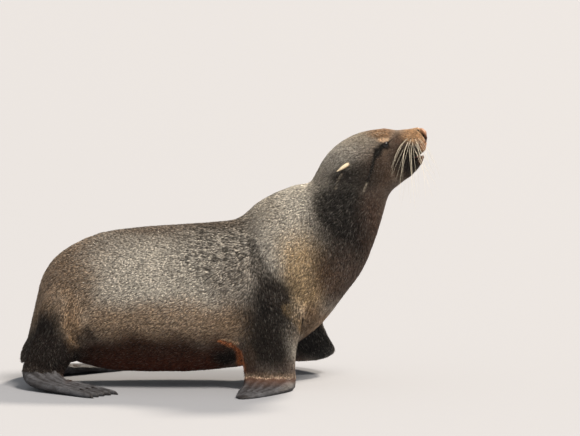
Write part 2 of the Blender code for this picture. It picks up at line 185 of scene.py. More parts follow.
def dress(piece, material, slot, *nodes):
    """Gives a piece smooth shading and its material, hangs it on the root body and hides the nodes it stands
    for; slot is not used.
    """
    piece.data.shade_smooth()
    piece.data.materials.clear()
    piece.data.materials.append(material)
    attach(piece, "root")
    if nodes:
        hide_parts(*nodes)


# %% Join the flesh
SWELL = 0.0005  # metres, enough to bridge the cuts
SOCKET_WALL = 0.0006  # the flesh that fills each eye socket is larger than the eye by this
VOXEL = 0.0026


def swollen_copy(bm, node):
    """Adds a merged copy of a node, moved outwards by SWELL, to the bmesh."""
    copy = bmesh.new()
    copy.from_mesh(node.data)
    bmesh.ops.remove_doubles(copy, verts=copy.verts, dist=1e-6)
    copy.normal_update()
    for vert in copy.verts:
        vert.co += vert.normal * SWELL
    mesh = bpy.data.meshes.new("swollen")
    copy.to_mesh(mesh)
    copy.free()
    bm.from_mesh(mesh)
    bpy.data.meshes.remove(mesh)


joined = bmesh.new()
for name in FLESH:
    swollen_copy(joined, frame["nodes"][name])
for eye in EYES.values():
    bmesh.ops.create_uvsphere(joined, u_segments=24, v_segments=12, radius=EYE_RADIUS + SOCKET_WALL,
                              matrix=Matrix.Translation(eye))
skin = add_piece("skin", joined)
melt = skin.modifiers.new("melt", "REMESH")
melt.mode = "VOXEL"
melt.voxel_size = VOXEL
evaluated(skin)
print("skin after the remesh:", len(skin.data.vertices), "points")

# %% [markdown]
# ### Smooth it, and finer on the face
#
# The remesh leaves small steps. Each point moves to the middle of its neighbours, which takes the steps away,
# and in the second pass a little back as well, which keeps the volume. Thin places have no part in the first
# pass. The face needs lids and nostrils of a millimetre, so its faces are divided once more before that.

# %% Smooth and divide
SMOOTH_ROUNDS = 14
NO_SHRINKING = 0.51  # a little more than the half step onwards


def soft_step(value, low, high):
    """0 below low, 1 above high, and a smooth rise between them."""
    share = np.clip((value - low) / (high - low), 0, 1)
    return share * share * (3 - 2 * share)


def relax(points, edges, rounds, share, back=0.0):
    """Moves each point towards its neighbours by its share of the way; back undoes the shrinking."""
    count = len(points)
    degree = np.bincount(edges.ravel(), minlength=count)[:, None]
    for onward in [0.5, -back] * rounds if back else [0.5] * rounds:
        total = np.stack([
            np.bincount(edges[:, 0], points[edges[:, 1], axis], count)
            + np.bincount(edges[:, 1], points[edges[:, 0], axis], count)
            for axis in range(3)
        ], axis=1)
        points = points + (total / degree - points) * onward * share[:, None]
    return points


def thick_share(points):
    """1 where the body is thick, 0 on the flippers and the front of the head."""
    x, y, z = points.T
    limbs = soft_step(z, 0.09, 0.15) + soft_step(0.11 - np.abs(y - MIDDLE), 0, 0.03) * (z > 0.028)
    return np.clip(limbs, 0, 1) * (1 - soft_step((x - 0.40) + (z - 0.60) * 0.5, 0.0, 0.06))


points = points_of(skin.data)
edges = edges_of(skin.data)
points = relax(points, edges, SMOOTH_ROUNDS, thick_share(points))
put_points(skin.data, relax(points, edges, SMOOTH_ROUNDS // 3, np.ones(len(points)), back=NO_SHRINKING))

fine = bmesh.new()
fine.from_mesh(skin.data)
face = [edge for edge in fine.edges
        if all(vert.co.x > FACE_BACK and vert.co.z > FACE_BOTTOM for vert in edge.verts)]
bmesh.ops.subdivide_edges(fine, edges=face, cuts=1, use_grid_fill=True)
bmesh.ops.triangulate(fine, faces=[part for part in fine.faces if len(part.verts) > 4])
fine.to_mesh(skin.data)
fine.free()
points = points_of(skin.data)
edges = edges_of(skin.data)
at_face = soft_step(points[:, 0], FACE_BACK, FACE_BACK + 0.01) * (points[:, 2] > FACE_BOTTOM)
put_points(skin.data, relax(points, edges, 4, at_face))
print("skin to sculpt:", len(skin.data.vertices), "points")

# %% [markdown]
# ## Room for the coat
#
# The model's pieces reach to the tips of the hair. The skin lies deeper by the depth of the coat: a few
# millimetres on the trunk, one on the face, none on the bare flippers.

# %% Inset
TRUNK_COAT, LIMB_COAT, HEAD_COAT = 0.0048, 0.0030, 0.0035  # metres
FACE_LESS = 0.0019  # how much thinner the coat is on the face than on the rest of the head
LIP_ROUNDS = 22  # of smoothing for the lips, which have no coat


def bare_share(points):
    """1 on the bare leather of the flippers, 0 on fur, with an uneven edge where the fur ends."""
    x, y, z = points.T
    side = y - MIDDLE
    ripple = 0.0018 * np.sin(x * 95) + 0.0010 * np.sin(x * 230 + y * 60)
    fore_right = soft_step(0.036 + ripple - z, 0, 0.004) * (side < -0.10) * (x > -0.1)
    along_left = (side - 0.160) * 0.75 + (0.085 - z) * 0.65
    fore_left = soft_step(along_left - 0.022 + ripple, 0, 0.006) * (side > 0.14) * (x > 0.1) * (z < 0.13)
    instep = 0.029 + 0.021 * soft_step(-x, 0.41, 0.45)
    hind = soft_step(instep + ripple - z, 0, 0.005) * (np.abs(side) > 0.07) * (x < -0.2)
    return np.clip(fore_right + fore_left + hind, 0, 1)


def head_share(points):
    """1 on the head, 0 on the trunk."""
    x, _, z = points.T
    return soft_step((x - 0.30) * 0.6 + (z - 0.52) * 0.8, 0.0, 0.09)


def limb_share(points):
    """1 on the arms and the hind legs, 0 on the trunk."""
    x, y, z = points.T
    side = np.abs(y - MIDDLE)
    low = 1 - soft_step(z, 0.10, 0.19)
    behind = 1 - soft_step(x, -0.40, -0.34)
    return low * np.clip(soft_step(side, 0.09, 0.13) + behind * soft_step(side, 0.05, 0.08), 0, 1)


def coat_depth(points):
    head = head_share(points)
    limb = limb_share(points)
    depth = TRUNK_COAT * (1 - limb) + LIMB_COAT * limb
    depth = depth * (1 - head) + (HEAD_COAT - FACE_LESS * soft_step(points[:, 0], 0.36, 0.46)) * head
    return depth * (1 - bare_share(points))


points = points_of(skin.data)
lips = soft_step(points[:, 0], 0.485, 0.495) * np.exp(-((above_mouth(points) / 0.012) ** 2))
points -= normals_of(skin.data) * (coat_depth(points) * (1 - lips))[:, None]
put_points(skin.data, relax(points, edges_of(skin.data), LIP_ROUNDS, lips))
print("coat up to", round(float(coat_depth(points).max()) * 1000, 1), "mm deep")

# %% [markdown]
# ## Sculpting with grooves and swellings
#
# A fold in soft skin is a narrow groove with a low roll on each side of it. A cheek or a brow is a rounded
# swelling. Two functions make them: one works along a line of points, the other round a point. Each moves the
# skin along its own normal, as a thumb does in clay.

# %% Sculpting tools
def distance_to_segment(points, start, end):
    """How far each point is from a straight piece of line, and where on it its nearest place is, 0 to 1."""
    way = end - start
    share = np.clip((points - start) @ way / (way @ way), 0, 1)
    return np.linalg.norm(points - start - share[:, None] * way, axis=1), share


def distance_to_line(points, line):
    """How far each point is from a bent line, and how far along the line its nearest place is, 0 to 1."""
    line = np.asarray(line, dtype=float)
    lengths = np.linalg.norm(np.diff(line, axis=0), axis=1)
    starts = np.concatenate([[0], np.cumsum(lengths)]) / lengths.sum()
    nearest = np.full(len(points), np.inf)
    along = np.zeros(len(points))
    for index, (start, end) in enumerate(zip(line, line[1:])):
        distance, share = distance_to_segment(points, start, end)
        closer = distance < nearest
        nearest[closer] = distance[closer]
        along[closer] = (starts[index] + share * lengths[index] / lengths.sum())[closer]
    return nearest, along


def groove(points, line, width, roll=0.35, fade=0.25):
    """Depth of a fold along a line, 1 at its bottom and below 0 on its rolls, that fades out at both ends."""
    distance, along = distance_to_line(points, line)
    ends = soft_step(along, 0, fade) * (1 - soft_step(along, 1 - fade, 1))
    bottom = np.exp(-((distance / width) ** 2))
    rolls = np.exp(-(((distance - 2.0 * width) / width) ** 2))
    return (bottom - roll * rolls) * ends


def swelling(points, centre, radii):
    """A rounded rise of height 1 round a point."""
    distance = np.linalg.norm((points - np.asarray(centre)) / np.asarray(radii), axis=1)
    return (1 - np.clip(distance, 0, 1) ** 2) ** 2


def swellings_at(points, rows):
    """The heights of all swellings of a table together, each on both sides."""
    amounts = np.zeros(len(points))
    for centre, radii, height in rows:
        for places in both_sides([centre]):
            amounts += height * swelling(points, places[0], radii)
    return amounts


def move_along_normals(mesh, amounts):
    put_points(mesh, points_of(mesh) + normals_of(mesh) * amounts[:, None])


def skin_tree():
    """A search tree of the skin as it is now."""
    faces = [tuple(face.vertices) for face in skin.data.polygons]
    return BVHTree.FromPolygons([vert.co for vert in skin.data.vertices], faces)


def side_hit(tree, x, z, sign):
    """Where a ray from one side of the animal meets the skin."""
    return tree.ray_cast(Vector((x, MIDDLE + sign * 0.6, z)), Vector((0, -sign, 0)))[0]


# %% [markdown]
# ### Folds of the body
#
# The skin of a seal is loose. It folds where the arm leaves the chest, where the thigh meets the flank and
# round the neck when the head is raised. A line on the side of the body is given by its x and z, and a ray
# from that side finds how far out the skin is there.

# %% Body folds
def on_side(tree, line, sign):
    """Puts a line of (x, z) onto the skin, seen from one side."""
    placed = []
    for x, z in line:
        hit = side_hit(tree, x, z, sign)
        placed.append((x, hit.y if hit else MIDDLE + sign * 0.1, z))
    return np.array(placed)


# (line of x and z, width, depth) of each fold, in metres
BODY_FOLDS = [
    ([(0.075, 0.460), (0.092, 0.370), (0.128, 0.303), (0.166, 0.254), (0.199, 0.185)],
     0.030, 0.0060),  # shoulder
    ([(0.230, 0.235), (0.216, 0.190), (0.206, 0.150), (0.200, 0.125)], 0.0045, 0.0060),  # arm and chest
    ([(-0.010, 0.145), (0.030, 0.128), (0.048, 0.105), (0.056, 0.070)], 0.0060, 0.0050),  # armpit
    ([(-0.400, 0.262), (-0.412, 0.210), (-0.410, 0.160), (-0.390, 0.110)], 0.0110, 0.0050),  # thigh and flank
    ([(-0.430, 0.300), (-0.450, 0.240), (-0.455, 0.180)], 0.0140, 0.0030),  # rump
    ([(0.256, 0.560), (0.290, 0.480), (0.345, 0.420)], 0.0100, 0.0018),  # neck, when the head is raised
    ([(0.235, 0.535), (0.262, 0.455), (0.325, 0.385)], 0.0110, 0.0015),
    ([(0.109, 0.020), (0.109, 0.050)], 0.0035, 0.0030),  # wrist
]
# (centre, radii, height) of each swelling, on both sides
BODY_SWELLINGS = [((0.215, 0.15, 0.330), (0.07, 0.08, 0.10), 0.007)]  # point of the shoulder

tree = skin_tree()
points = points_of(skin.data)
folds = np.zeros(len(points))
for line, width, depth in BODY_FOLDS:
    for sign in SIDES.values():
        folds -= depth * groove(points, on_side(tree, line, sign), width)
move_along_normals(skin.data, folds + swellings_at(points, BODY_SWELLINGS))
print("body folds:", len(BODY_FOLDS))

# %% [markdown]
# ### Flippers
#
# A flipper is a hand in a glove of leather. Five fingers run through it from the wrist to the edge, with
# shallow valleys between them, and the leather creases across them at the joints.

# %% Digits
# name: (side, leading edge, trailing edge, height of its finger ridges); the edges run from the wrist to the
# tip as (x, distance from the middle, z)
HIND_BLADE = ([(-0.426, 0.134, 0.022), (-0.364, 0.194, 0.008), (-0.278, 0.246, 0.004)],
              [(-0.526, 0.168, 0.022), (-0.434, 0.268, 0.008), (-0.356, 0.342, 0.004)], 0.0030)
BLADES = {
    "fore_right": (-1, [(0.190, 0.165, 0.02), (0.155, 0.256, 0.01), (0.088, 0.346, 0.0)],
                   [(0.050, 0.175, 0.02), (0.040, 0.264, 0.01), (0.036, 0.334, 0.0)], 0.0034),
    "fore_left": (1, [(0.300, 0.180, 0.070), (0.282, 0.258, 0.052), (0.186, 0.362, 0.034)],
                  [(0.176, 0.176, 0.044), (0.162, 0.252, 0.036), (0.148, 0.350, 0.030)], 0.0034),
    "hind_right": (-1, *HIND_BLADE),
    "hind_left": (1, *HIND_BLADE),
}
DIGITS = 5
JOINTS = 3  # knuckles along each digit
RIDGE_WIDTH = 0.0072
SCALLOP, SCALLOP_WIDTH = 0.0050, 0.0075  # how far each digit's end stands out of the flipper's edge
SOLE_HEIGHT = 0.0003  # the soles are pressed flat on the floor


def digit_line(name, digit):
    """The middle line of one finger or toe, from the wrist to its tip."""
    sign, leading, trailing, _ = BLADES[name]
    share = (digit + (0.5 if name.startswith("hind") else 0.4)) / DIGITS
    line = [np.array(a) * (1 - share) + np.array(b) * share for a, b in zip(leading, trailing)]
    return np.array([(x, MIDDLE + sign * y, z) for x, y, z in line])


def digit_distance(points):
    """Seen from above: how far the nearest digit is, how far along it a point is, and its ridge's height."""
    nearest = np.full(len(points), 1.0)
    along, height = np.zeros((2, len(points)))
    for name in BLADES:
        for digit in range(DIGITS):
            distance, share = distance_to_line(points * (1, 1, 0), digit_line(name, digit) * (1, 1, 0))
            closer = distance < nearest
            nearest = np.where(closer, distance, nearest)
            along = np.where(closer, share, along)
            height = np.where(closer, BLADES[name][3], height)
    return nearest, along, height


points = points_of(skin.data)
distance, along, height = digit_distance(points)
ridge = np.exp(-((distance / RIDGE_WIDTH) ** 2)) - 0.40
knuckle = 0.75 + 0.25 * np.cos(along * JOINTS * 2 * math.pi)
upwards = normals_of(skin.data)[:, 2]
amounts = height * ridge * knuckle * (1 - 0.4 * along) * soft_step(upwards, 0.2, 0.6)
edge = (1 - soft_step(np.abs(upwards), 0.35, 0.75)) * soft_step(along, 0.45, 0.85)
amounts += SCALLOP * (np.exp(-((distance / SCALLOP_WIDTH) ** 2)) - 0.55) * edge
amounts *= bare_share(points) * (distance < 0.04)
move_along_normals(skin.data, amounts)
points = points_of(skin.data)
points[:, 2] = np.maximum(points[:, 2], SOLE_HEIGHT)
put_points(skin.data, points)
print("ridges up to", round(float(amounts.max()) * 1000, 1), "mm high")

# %% [markdown]
# ### The eye and its lids
#
# The eyeball stays a ball of its own. The skin is shaped in the eye's own directions: along the opening,
# across it, and outwards. The opening slants up towards the nose. Inside it the skin is pushed back behind
# the ball. Round it the skin is lifted to lie over the ball, which gives lids with a thickness.

# %% Lids
EYE_SLANT = math.radians(33)
EYE_HALF_LENGTH = 0.0122
EYE_HALF_HEIGHT = 0.0060
LID_THICKNESS = 0.0017
LID_ROLL, LID_CREASE = 0.0016, 0.0010  # height of the upper lid's roll, and depth of the crease round both
SOCKET_DEPTH = 0.0035  # how far behind the ball's surface the skin is pushed
EYE_BACK = -0.004  # metres outwards from the eye's middle; points further in have no part in the lids
FAR_OFF = 9.0  # stands for well outside the almond


def eye_axes(sign):
    """Along the opening, across it and outwards, for the eye on one side."""
    outward = Vector((0.30, 0.92 * sign, 0.16)).normalized()
    along = Vector((math.cos(EYE_SLANT), 0, math.sin(EYE_SLANT)))
    along = (along - outward * along.dot(outward)).normalized()
    across = outward.cross(along).normalized()
    if across.z < 0:
        across = -across
    return np.array(along), np.array(across), np.array(outward)


def eye_opening(points, side):
    """Below 1 inside the almond of the lids and above 1 outside it, and which points are over its middle."""
    along, across, outward = eye_axes(SIDES[side])
    offset = points - np.array(EYES[side])
    u, v, w = offset @ along, offset @ across, offset @ outward
    reach = np.sqrt((u / EYE_HALF_LENGTH) ** 2 + (np.abs(v) / EYE_HALF_HEIGHT) ** 1.25)
    return np.where(w > EYE_BACK, reach, FAR_OFF), v > 0


def shape_lids(points, side):
    opening, upper = eye_opening(points, side)
    offset = points - np.array(EYES[side])
    distance = np.linalg.norm(offset, axis=1)
    ray = offset / np.maximum(distance, 1e-9)[:, None]
    lid = np.maximum(distance, EYE_RADIUS + LID_THICKNESS)
    lid = lid + LID_ROLL * np.exp(-(((opening - 1.45) / 0.22) ** 2)) * upper
    lid = lid - LID_CREASE * np.exp(-(((opening - 2.05) / 0.25) ** 2))
    inside = 1 - soft_step(opening, 0.93, 1.12)
    wanted = (EYE_RADIUS - SOCKET_DEPTH) * inside + lid * (1 - inside)
    reach = 1 - soft_step(opening, 2.2, 3.2)
    return points + ray * ((wanted - distance) * reach)[:, None]


points = points_of(skin.data)
for side in SIDES:
    points = shape_lids(points, side)
put_points(skin.data, points)
print("opening between the lids:", round(EYE_HALF_LENGTH * 2000, 1), "mm long")

# %% [markdown]
# ### The jaw
#
# The lower jaw of a seal is narrower than the muzzle, and the whisker pads hang over its sides. So the front
# of the lower jaw is drawn in towards the middle, and the edge of the upper lip is drawn down at its sides.

# %% Jaw and lips
JAW_NARROWS = 0.24  # share of its width that the front of the lower jaw loses
LIP_HANGS = 0.0055
MOUTH_DEPTH = 0.0045  # the floor of the mouth lies this much lower than its rim

points = points_of(skin.data)
x, side = points[:, 0], points[:, 1] - MIDDLE
above = above_mouth(points)
forward = soft_step(x, 0.485, 0.53)
below = 1 - soft_step(above, -0.004, 0.002)
points[:, 1] -= side * JAW_NARROWS * forward * below * soft_step(points[:, 2], 0.565, 0.590)
hanging = np.exp(-(((np.abs(side) - 0.031) / 0.011) ** 2)) * np.exp(-(((above - 0.012) / 0.010) ** 2))
points[:, 2] -= LIP_HANGS * hanging * forward
inside = (1 - soft_step(np.abs(side), 0.014, 0.024)) * soft_step(x, 0.492, 0.505)
behind_lip = 1 - soft_step(x, 0.530, 0.540)
points[:, 2] -= MOUTH_DEPTH * inside * np.exp(-(((above + 0.005) / 0.007) ** 2)) * behind_lip
put_points(skin.data, points)
print("lips hang by up to", round(float((LIP_HANGS * hanging * forward).max()) * 1000, 1), "mm")

# %% [markdown]
# ### The rest of the face
#
# Between the eye and the nose lies the tear groove. A brow shades the eye. The whisker pads are full and end
# above the lip in a soft edge. The nostrils are slits that open forwards, and a seal closes them by itself.

# %% Face
# (centre from the middle, radii, height) of each swelling, on both sides
FACE_SWELLINGS = [
    ((0.432, 0.046, 0.6690), (0.022, 0.014, 0.012), 0.0020),  # brow
    ((0.512, 0.034, 0.6500), (0.026, 0.020, 0.018), 0.0026),  # whisker pad
    ((0.512, 0.006, 0.6450), (0.014, 0.012, 0.014), 0.0020),  # upper lip, under the nose
    ((0.405, 0.066, 0.6180), (0.034, 0.020, 0.026), 0.0024),  # cheek
    ((0.515, 0.012, 0.6050), (0.018, 0.018, 0.014), 0.0020),  # lower lip
    ((0.528, 0.016, 0.6780), (0.010, 0.008, 0.012), 0.0022),  # wing of the nose
]
# (line of places from the middle, width, depth) of each groove, on both sides
FACE_GROOVES = [
    ([(0.446, 0.056, 0.659), (0.456, 0.050, 0.666), (0.466, 0.042, 0.672)], 0.0028, 0.0026),  # tear groove
    ([(0.428, 0.062, 0.640), (0.418, 0.068, 0.630), (0.411, 0.072, 0.616)], 0.0046, 0.0034),  # behind the eye
    ([(0.411, 0.072, 0.618), (0.399, 0.079, 0.580), (0.386, 0.083, 0.540)], 0.0046, 0.0066),  # cheek fold
    ([(0.520, 0.032, 0.6115), (0.500, 0.039, 0.6055), (0.479, 0.050, 0.5985)], 0.0026, 0.0050),  # lip corner
    ([(0.490, 0.039, 0.668), (0.482, 0.041, 0.650), (0.476, 0.043, 0.632)], 0.0050, 0.0014),  # behind the pad
]
NOSTRIL = [(0.5255, 0.0170, 0.6900), (0.5340, 0.0205, 0.6815), (0.5390, 0.0195, 0.6700),
           (0.5430, 0.0140, 0.6580)]
NOSTRIL_WIDTH, NOSTRIL_DEPTH = 0.0034, 0.0078
LIP_SEAM = [(0.5465, MIDDLE, 0.664), (0.5475, MIDDLE, 0.650), (0.5440, MIDDLE, 0.636)]  # nose to upper lip
SEAM_WIDTH, SEAM_DEPTH = 0.0016, 0.0014


def nostrils():
    """The two nostril lines, laid onto the skin as it is now."""
    tree = skin_tree()
    return [np.array([tree.find_nearest(Vector(place))[0] for place in places])
            for places in both_sides(NOSTRIL)]


points = points_of(skin.data)
amounts = swellings_at(points, FACE_SWELLINGS)
for line, width, depth in FACE_GROOVES:
    for places in both_sides(line):
        amounts -= depth * groove(points, places, width)
move_along_normals(skin.data, amounts)

points = points_of(skin.data)
amounts = np.zeros(len(points))
for places in nostrils():
    amounts -= NOSTRIL_DEPTH * groove(points, places, NOSTRIL_WIDTH, roll=0.16, fade=0.10)
amounts -= SEAM_DEPTH * groove(points, LIP_SEAM, SEAM_WIDTH, roll=0.3, fade=0.3)
move_along_normals(skin.data, amounts)
print("face:", len(FACE_SWELLINGS), "swellings and", len(FACE_GROOVES) + 1, "grooves on each side")

# %% [markdown]
# ## Fewer faces where nothing happens
#
# The face keeps its fine mesh. The trunk is smooth, so Decimate may take most of its faces away. A vertex
# group tells it where to leave them.

# %% Decimate
SKIN_TRIANGLES = 175000

points = points_of(skin.data)
keep = np.clip(0.30 + 0.70 * soft_step((points[:, 0] - 0.36) + (points[:, 2] - 0.58) * 0.5, 0.0, 0.05)
               + 0.25 * bare_share(points), 0, 1)
group = skin.vertex_groups.new(name="thin_out")
for level in range(11):
    group.add(np.nonzero(np.round(keep * 10) == level)[0].tolist(), 1 - level / 10, "REPLACE")
thin = skin.modifiers.new("thin_out", "DECIMATE")
thin.vertex_group = group.name
thin.vertex_group_factor = 2.0
thin.ratio = SKIN_TRIANGLES / sum(len(face.vertices) - 2 for face in skin.data.polygons)
thin.use_collapse_triangulate = True
evaluated(skin)
skin.vertex_groups.clear()
print("skin:", len(skin.data.polygons), "triangles")

# %% [markdown]
# ## Markings
#
# A cow of this species is silvery brown above, warmer on the rump and the chest, darker under the neck and
# chocolate below, with an ochre muzzle. Shade and light are painted into some patches as well: the head's
# shadow on the neck, the throat and the chest, shade on the arms, the belly and the rear, under the muzzle and
# the ear and in the folds, highlights on lit edges, the brow and the nape, and a sheen on the pale flank. Each
# marking is a soft patch with its own colour, laid over the ones before it. The same function colours the skin
# and every tuft, so both carry the same markings.

# %% Colours
def linear(code):
    """An sRGB hex value as the linear colour that a shader takes."""
    channels = [int(code[start:start + 2], 16) / 255 for start in (0, 2, 4)]
    return np.array([c / 12.92 if c <= 0.04045 else ((c + 0.055) / 1.055) ** 2.4 for c in channels])


def blend(first, second, share):
    """first where the share of a point is 0, second where it is 1."""
    return first * (1 - share[:, None]) + second * share[:, None]


# rows of whiskers from the top down: (height of the row, x of its first and last root, how many)
WHISKER_ROWS = [(0.6640, 0.526, 0.497, 4), (0.6565, 0.531, 0.488, 5), (0.6490, 0.530, 0.482, 5),
                (0.6415, 0.525, 0.480, 5), (0.6350, 0.516, 0.486, 3)]
PAD_DOTS = np.array([(x, height) for height, front, back, count in WHISKER_ROWS
                     for x in np.linspace(front, back, count)])
DOT_RADIUS = 0.0017


def pad_dots(points):
    """1 in the dark dot that each whisker grows from."""
    share = np.zeros(len(points))
    near = (points[:, 0] > 0.47) & (points[:, 2] > 0.625)
    offset = points[near][:, None, [0, 2]] - PAD_DOTS
    share[near] = np.exp(-((np.linalg.norm(offset, axis=2).min(axis=1) / DOT_RADIUS) ** 4))
    return share


# the pale ground colour: silvery grey fur, made paler still by a painted sheen along the lying hair
FLANK_AND_PAINTED_SHEEN = "dcd4c6"
ANY = 9  # a radius that takes in every distance from the middle
# (what, centre with its distance from the middle, radii, colour, strength)
MARKINGS_WITH_PAINTED_LIGHT = [
    ("back", (-0.16, 0.0, 0.48), (0.55, 0.20, 0.175), "5c4938", 0.9),
    ("rump", (-0.50, 0.0, 0.34), (0.24, ANY, 0.24), "8c7156", 0.9),
    ("side of the rump", (-0.385, 0.15, 0.27), (0.07, ANY, 0.09), "8d7050", 0.65),
    ("hump", (0.17, 0.0, 0.52), (0.17, ANY, 0.13), "c6bcac", 0.8),
    ("front of the shoulder", (0.225, 0.15, 0.315), (0.105, 0.15, 0.150), "c4a576", 0.85),
    # behind the shoulder: partly damp fur, partly painted shade
    ("behind the shoulder", (0.055, 0.0, 0.270), (0.110, ANY, 0.130), "6d5a48", 0.5),
    ("low flank", (-0.15, 0.0, 0.172), (0.44, ANY, 0.095), "a5825c", 0.75),
    # belly side and belly: chocolate fur, darkened further by painted shade under the body
    ("belly side", (-0.18, 0.0, 0.085), (0.50, ANY, 0.085), "452511", 1.0),
    ("belly", (-0.15, 0.0, 0.00), (0.60, ANY, 0.115), "562713", 1.0),
    # rear of the rump, thigh and hind leg: painted shade on the back of the body, which turns away from the
    # light
    ("rear of the rump", (-0.56, 0.10, 0.20), (0.078, ANY, 0.22), "2b211b", 0.95),
    ("thigh", (-0.478, 0.15, 0.160), (0.072, 0.12, 0.085), "17100d", 0.97),
    ("hind leg", (-0.475, 0.12, 0.085), (0.17, 0.21, 0.105), "231914", 1.0),
    # thigh fold: painted highlight on the lit ridge of the fold
    ("thigh fold", (-0.398, 0.15, 0.175), (0.032, 0.10, 0.080), "a8845c", 0.5),
    ("before the thigh", (-0.362, 0.15, 0.150), (0.040, 0.10, 0.030), "3f2e22", 0.8),
    # chest: dark brown fur, darkened further by the painted shadow of the head
    ("chest", (0.345, 0.0, 0.33), (0.13, ANY, 0.20), "4a3022", 0.9),
    ("low chest", (0.245, 0.0, 0.175), (0.07, ANY, 0.075), "957452", 0.8),
    # between the arms: dark fur with painted shade under the chest
    ("between the arms", (0.16, 0.0, 0.09), (0.20, 0.10, 0.10), "3c2416", 0.95),
    # shoulder fold, arm and elbow: painted shade on the side of the upper arm that faces away from the light
    ("shoulder fold", (0.138, 0.17, 0.262), (0.065, 0.12, 0.068), "1b1613", 0.88),
    ("arm", (0.130, 0.18, 0.200), (0.098, 0.12, 0.130), "1a1410", 0.97),
    ("elbow", (0.125, 0.18, 0.120), (0.085, 0.12, 0.090), "261e18", 0.95),
    ("rear of the forearm", (0.070, 0.18, 0.085), (0.026, 0.08, 0.050), "6a5645", 0.7),
    ("edge of the chest", (0.216, 0.17, 0.165), (0.014, 0.08, 0.036), "a98a60", 0.75),
    # inside of the arm and reaching arm: painted shade on the inner sides of the fore limbs and the far arm
    ("inside of the arm", (0.250, 0.115, 0.100), (0.11, 0.065, 0.105), "080402", 1.0),
    ("reaching arm", (0.275, 0.150, 0.090), (0.066, 0.09, 0.075), "0a0603", 1.0),
    ("wrist", (0.115, 0.17, 0.0405), (0.14, 0.09, 0.0125), "dfc4aa", 0.75),
    # under the armpit: painted shade
    ("under the armpit", (0.016, 0.13, 0.085), (0.050, 0.08, 0.040), "150b06", 0.95),
    # neck and throat: darker fur with the shadow of the raised head painted over it
    ("neck", (0.330, 0.0, 0.485), (0.138, ANY, 0.165), "15110f", 0.97),
    ("throat", (0.44, 0.0, 0.46), (0.09, ANY, 0.15), "553d30", 0.8),
    # nape: silvery fur, brightened by painted light beside the painted shadow of the neck
    ("nape", (0.196, 0.0, 0.520), (0.055, ANY, 0.100), "efe8da", 0.65),
    ("face", (0.455, 0.0, 0.610), (0.125, ANY, 0.100), "5c4433", 0.92),
    ("crown", (0.345, 0.0, 0.71), (0.14, ANY, 0.080), "a89984", 0.9),
    # cheek: painted shade, part of the head's painted shadow on the neck
    ("cheek", (0.385, 0.09, 0.575), (0.07, ANY, 0.055), "2e2620", 0.75),
    # under the ear: painted shadow of the ear on the skin below it
    ("under the ear", (0.325, 0.10, 0.572), (0.045, 0.06, 0.026), "1d1613", 0.85),
    ("forehead", (0.435, 0.0, 0.700), (0.085, ANY, 0.036), "a8774a", 0.7),
    ("side of the muzzle", (0.478, 0.04, 0.664), (0.036, ANY, 0.020), "6a5040", 0.85),
    ("muzzle", (0.522, 0.0, 0.676), (0.048, ANY, 0.030), "dcb083", 0.95),
    # under the muzzle: dark lower jaw with painted shade under the overhanging whisker pads
    ("under the muzzle", (0.500, 0.0, 0.601), (0.062, ANY, 0.058), "120a06", 0.97),
    ("upper lip", (0.545, 0.0, 0.645), (0.018, ANY, 0.019), "c08a62", 0.85),
    ("chin", (0.545, 0.0, 0.605), (0.020, ANY, 0.018), "7c4c36", 0.8),
    # above the eye: tan fur with painted light on the brow
    ("above the eye", (0.428, 0.05, 0.676), (0.040, 0.05, 0.014), "a37a52", 0.7),
    ("round the eye", (0.434, 0.060, 0.6460), (0.020, 0.03, 0.0105), "0e0a08", 1.0),
    # brow: a painted highlight on the lit brow ridge
    ("brow", (0.4335, 0.055, 0.6625), (0.023, 0.03, 0.0080), "ffdcb8", 1.0),
    # tear patch: dark wet skin behind the eye, with painted shade of the fold
    ("tear patch", (0.417, 0.070, 0.631), (0.017, 0.03, 0.017), "120d0b", 1.0),
]
# (what, line of x and z as seen from the side, width, which sides, colour, strength)
BOTH, RIGHT, LEFT = (-1, 1), (-1,), (1,)
MARKING_LINES_WITH_PAINTED_LIGHT = [
    # cheek fold: painted shade in the fold below the eye, over dark wet skin
    ("cheek fold", [(0.427, 0.641), (0.4145, 0.629), (0.4075, 0.608), (0.398, 0.576), (0.3855, 0.541)],
     0.0088, BOTH, "0e0a08", 0.95),
    # tear groove: painted shade in the groove before the eye
    ("tear groove", [(0.444, 0.655), (0.450, 0.6590), (0.457, 0.6630)], 0.0034, BOTH, "120d0a", 0.85),
    ("pale hairs under the fold", [(0.389, 0.550), (0.383, 0.538), (0.380, 0.525)],
     0.0042, BOTH, "d6c9b4", 0.5),
    ("pale hairs under the ear", [(0.322, 0.574), (0.312, 0.556), (0.307, 0.536)],
     0.0050, BOTH, "b5a793", 0.45),
    # behind the shoulder: painted shade in the valley behind the shoulder
    ("behind the shoulder", [(0.142, 0.262), (0.118, 0.300), (0.100, 0.345), (0.084, 0.395)],
     0.050, BOTH, "352d27", 0.7),
    ("golden edge of the arm", [(0.172, 0.225), (0.190, 0.205), (0.205, 0.185), (0.216, 0.150)],
     0.020, BOTH, "a58a63", 0.30),
    # crease of the arm: painted shade in the crease between arm and chest
    ("crease of the arm", [(0.2150, 0.196), (0.2115, 0.160), (0.2010, 0.131)], 0.0040, RIGHT, "0c0806", 0.95),
    # armpit: a painted lit rim along the top of the armpit fold
    ("armpit", [(0.056, 0.060), (0.0505, 0.084), (0.0470, 0.104), (0.036, 0.119), (0.018, 0.128),
                (-0.004, 0.135)], 0.0115, RIGHT, "e08a58", 0.9),
    # pale edge of the armpit: a painted highlight along that rim
    ("pale edge of the armpit", [(0.044, 0.129), (0.026, 0.136), (0.000, 0.141)],
     0.0070, RIGHT, "ffd9b0", 0.8),
    ("armpit of the reaching arm", [(0.060, 0.150), (0.082, 0.135), (0.102, 0.118), (0.124, 0.092)],
     0.0110, LEFT, "b98560", 0.6),
]
LEATHER = "2b2829"
LEATHER_WORN = "626368"
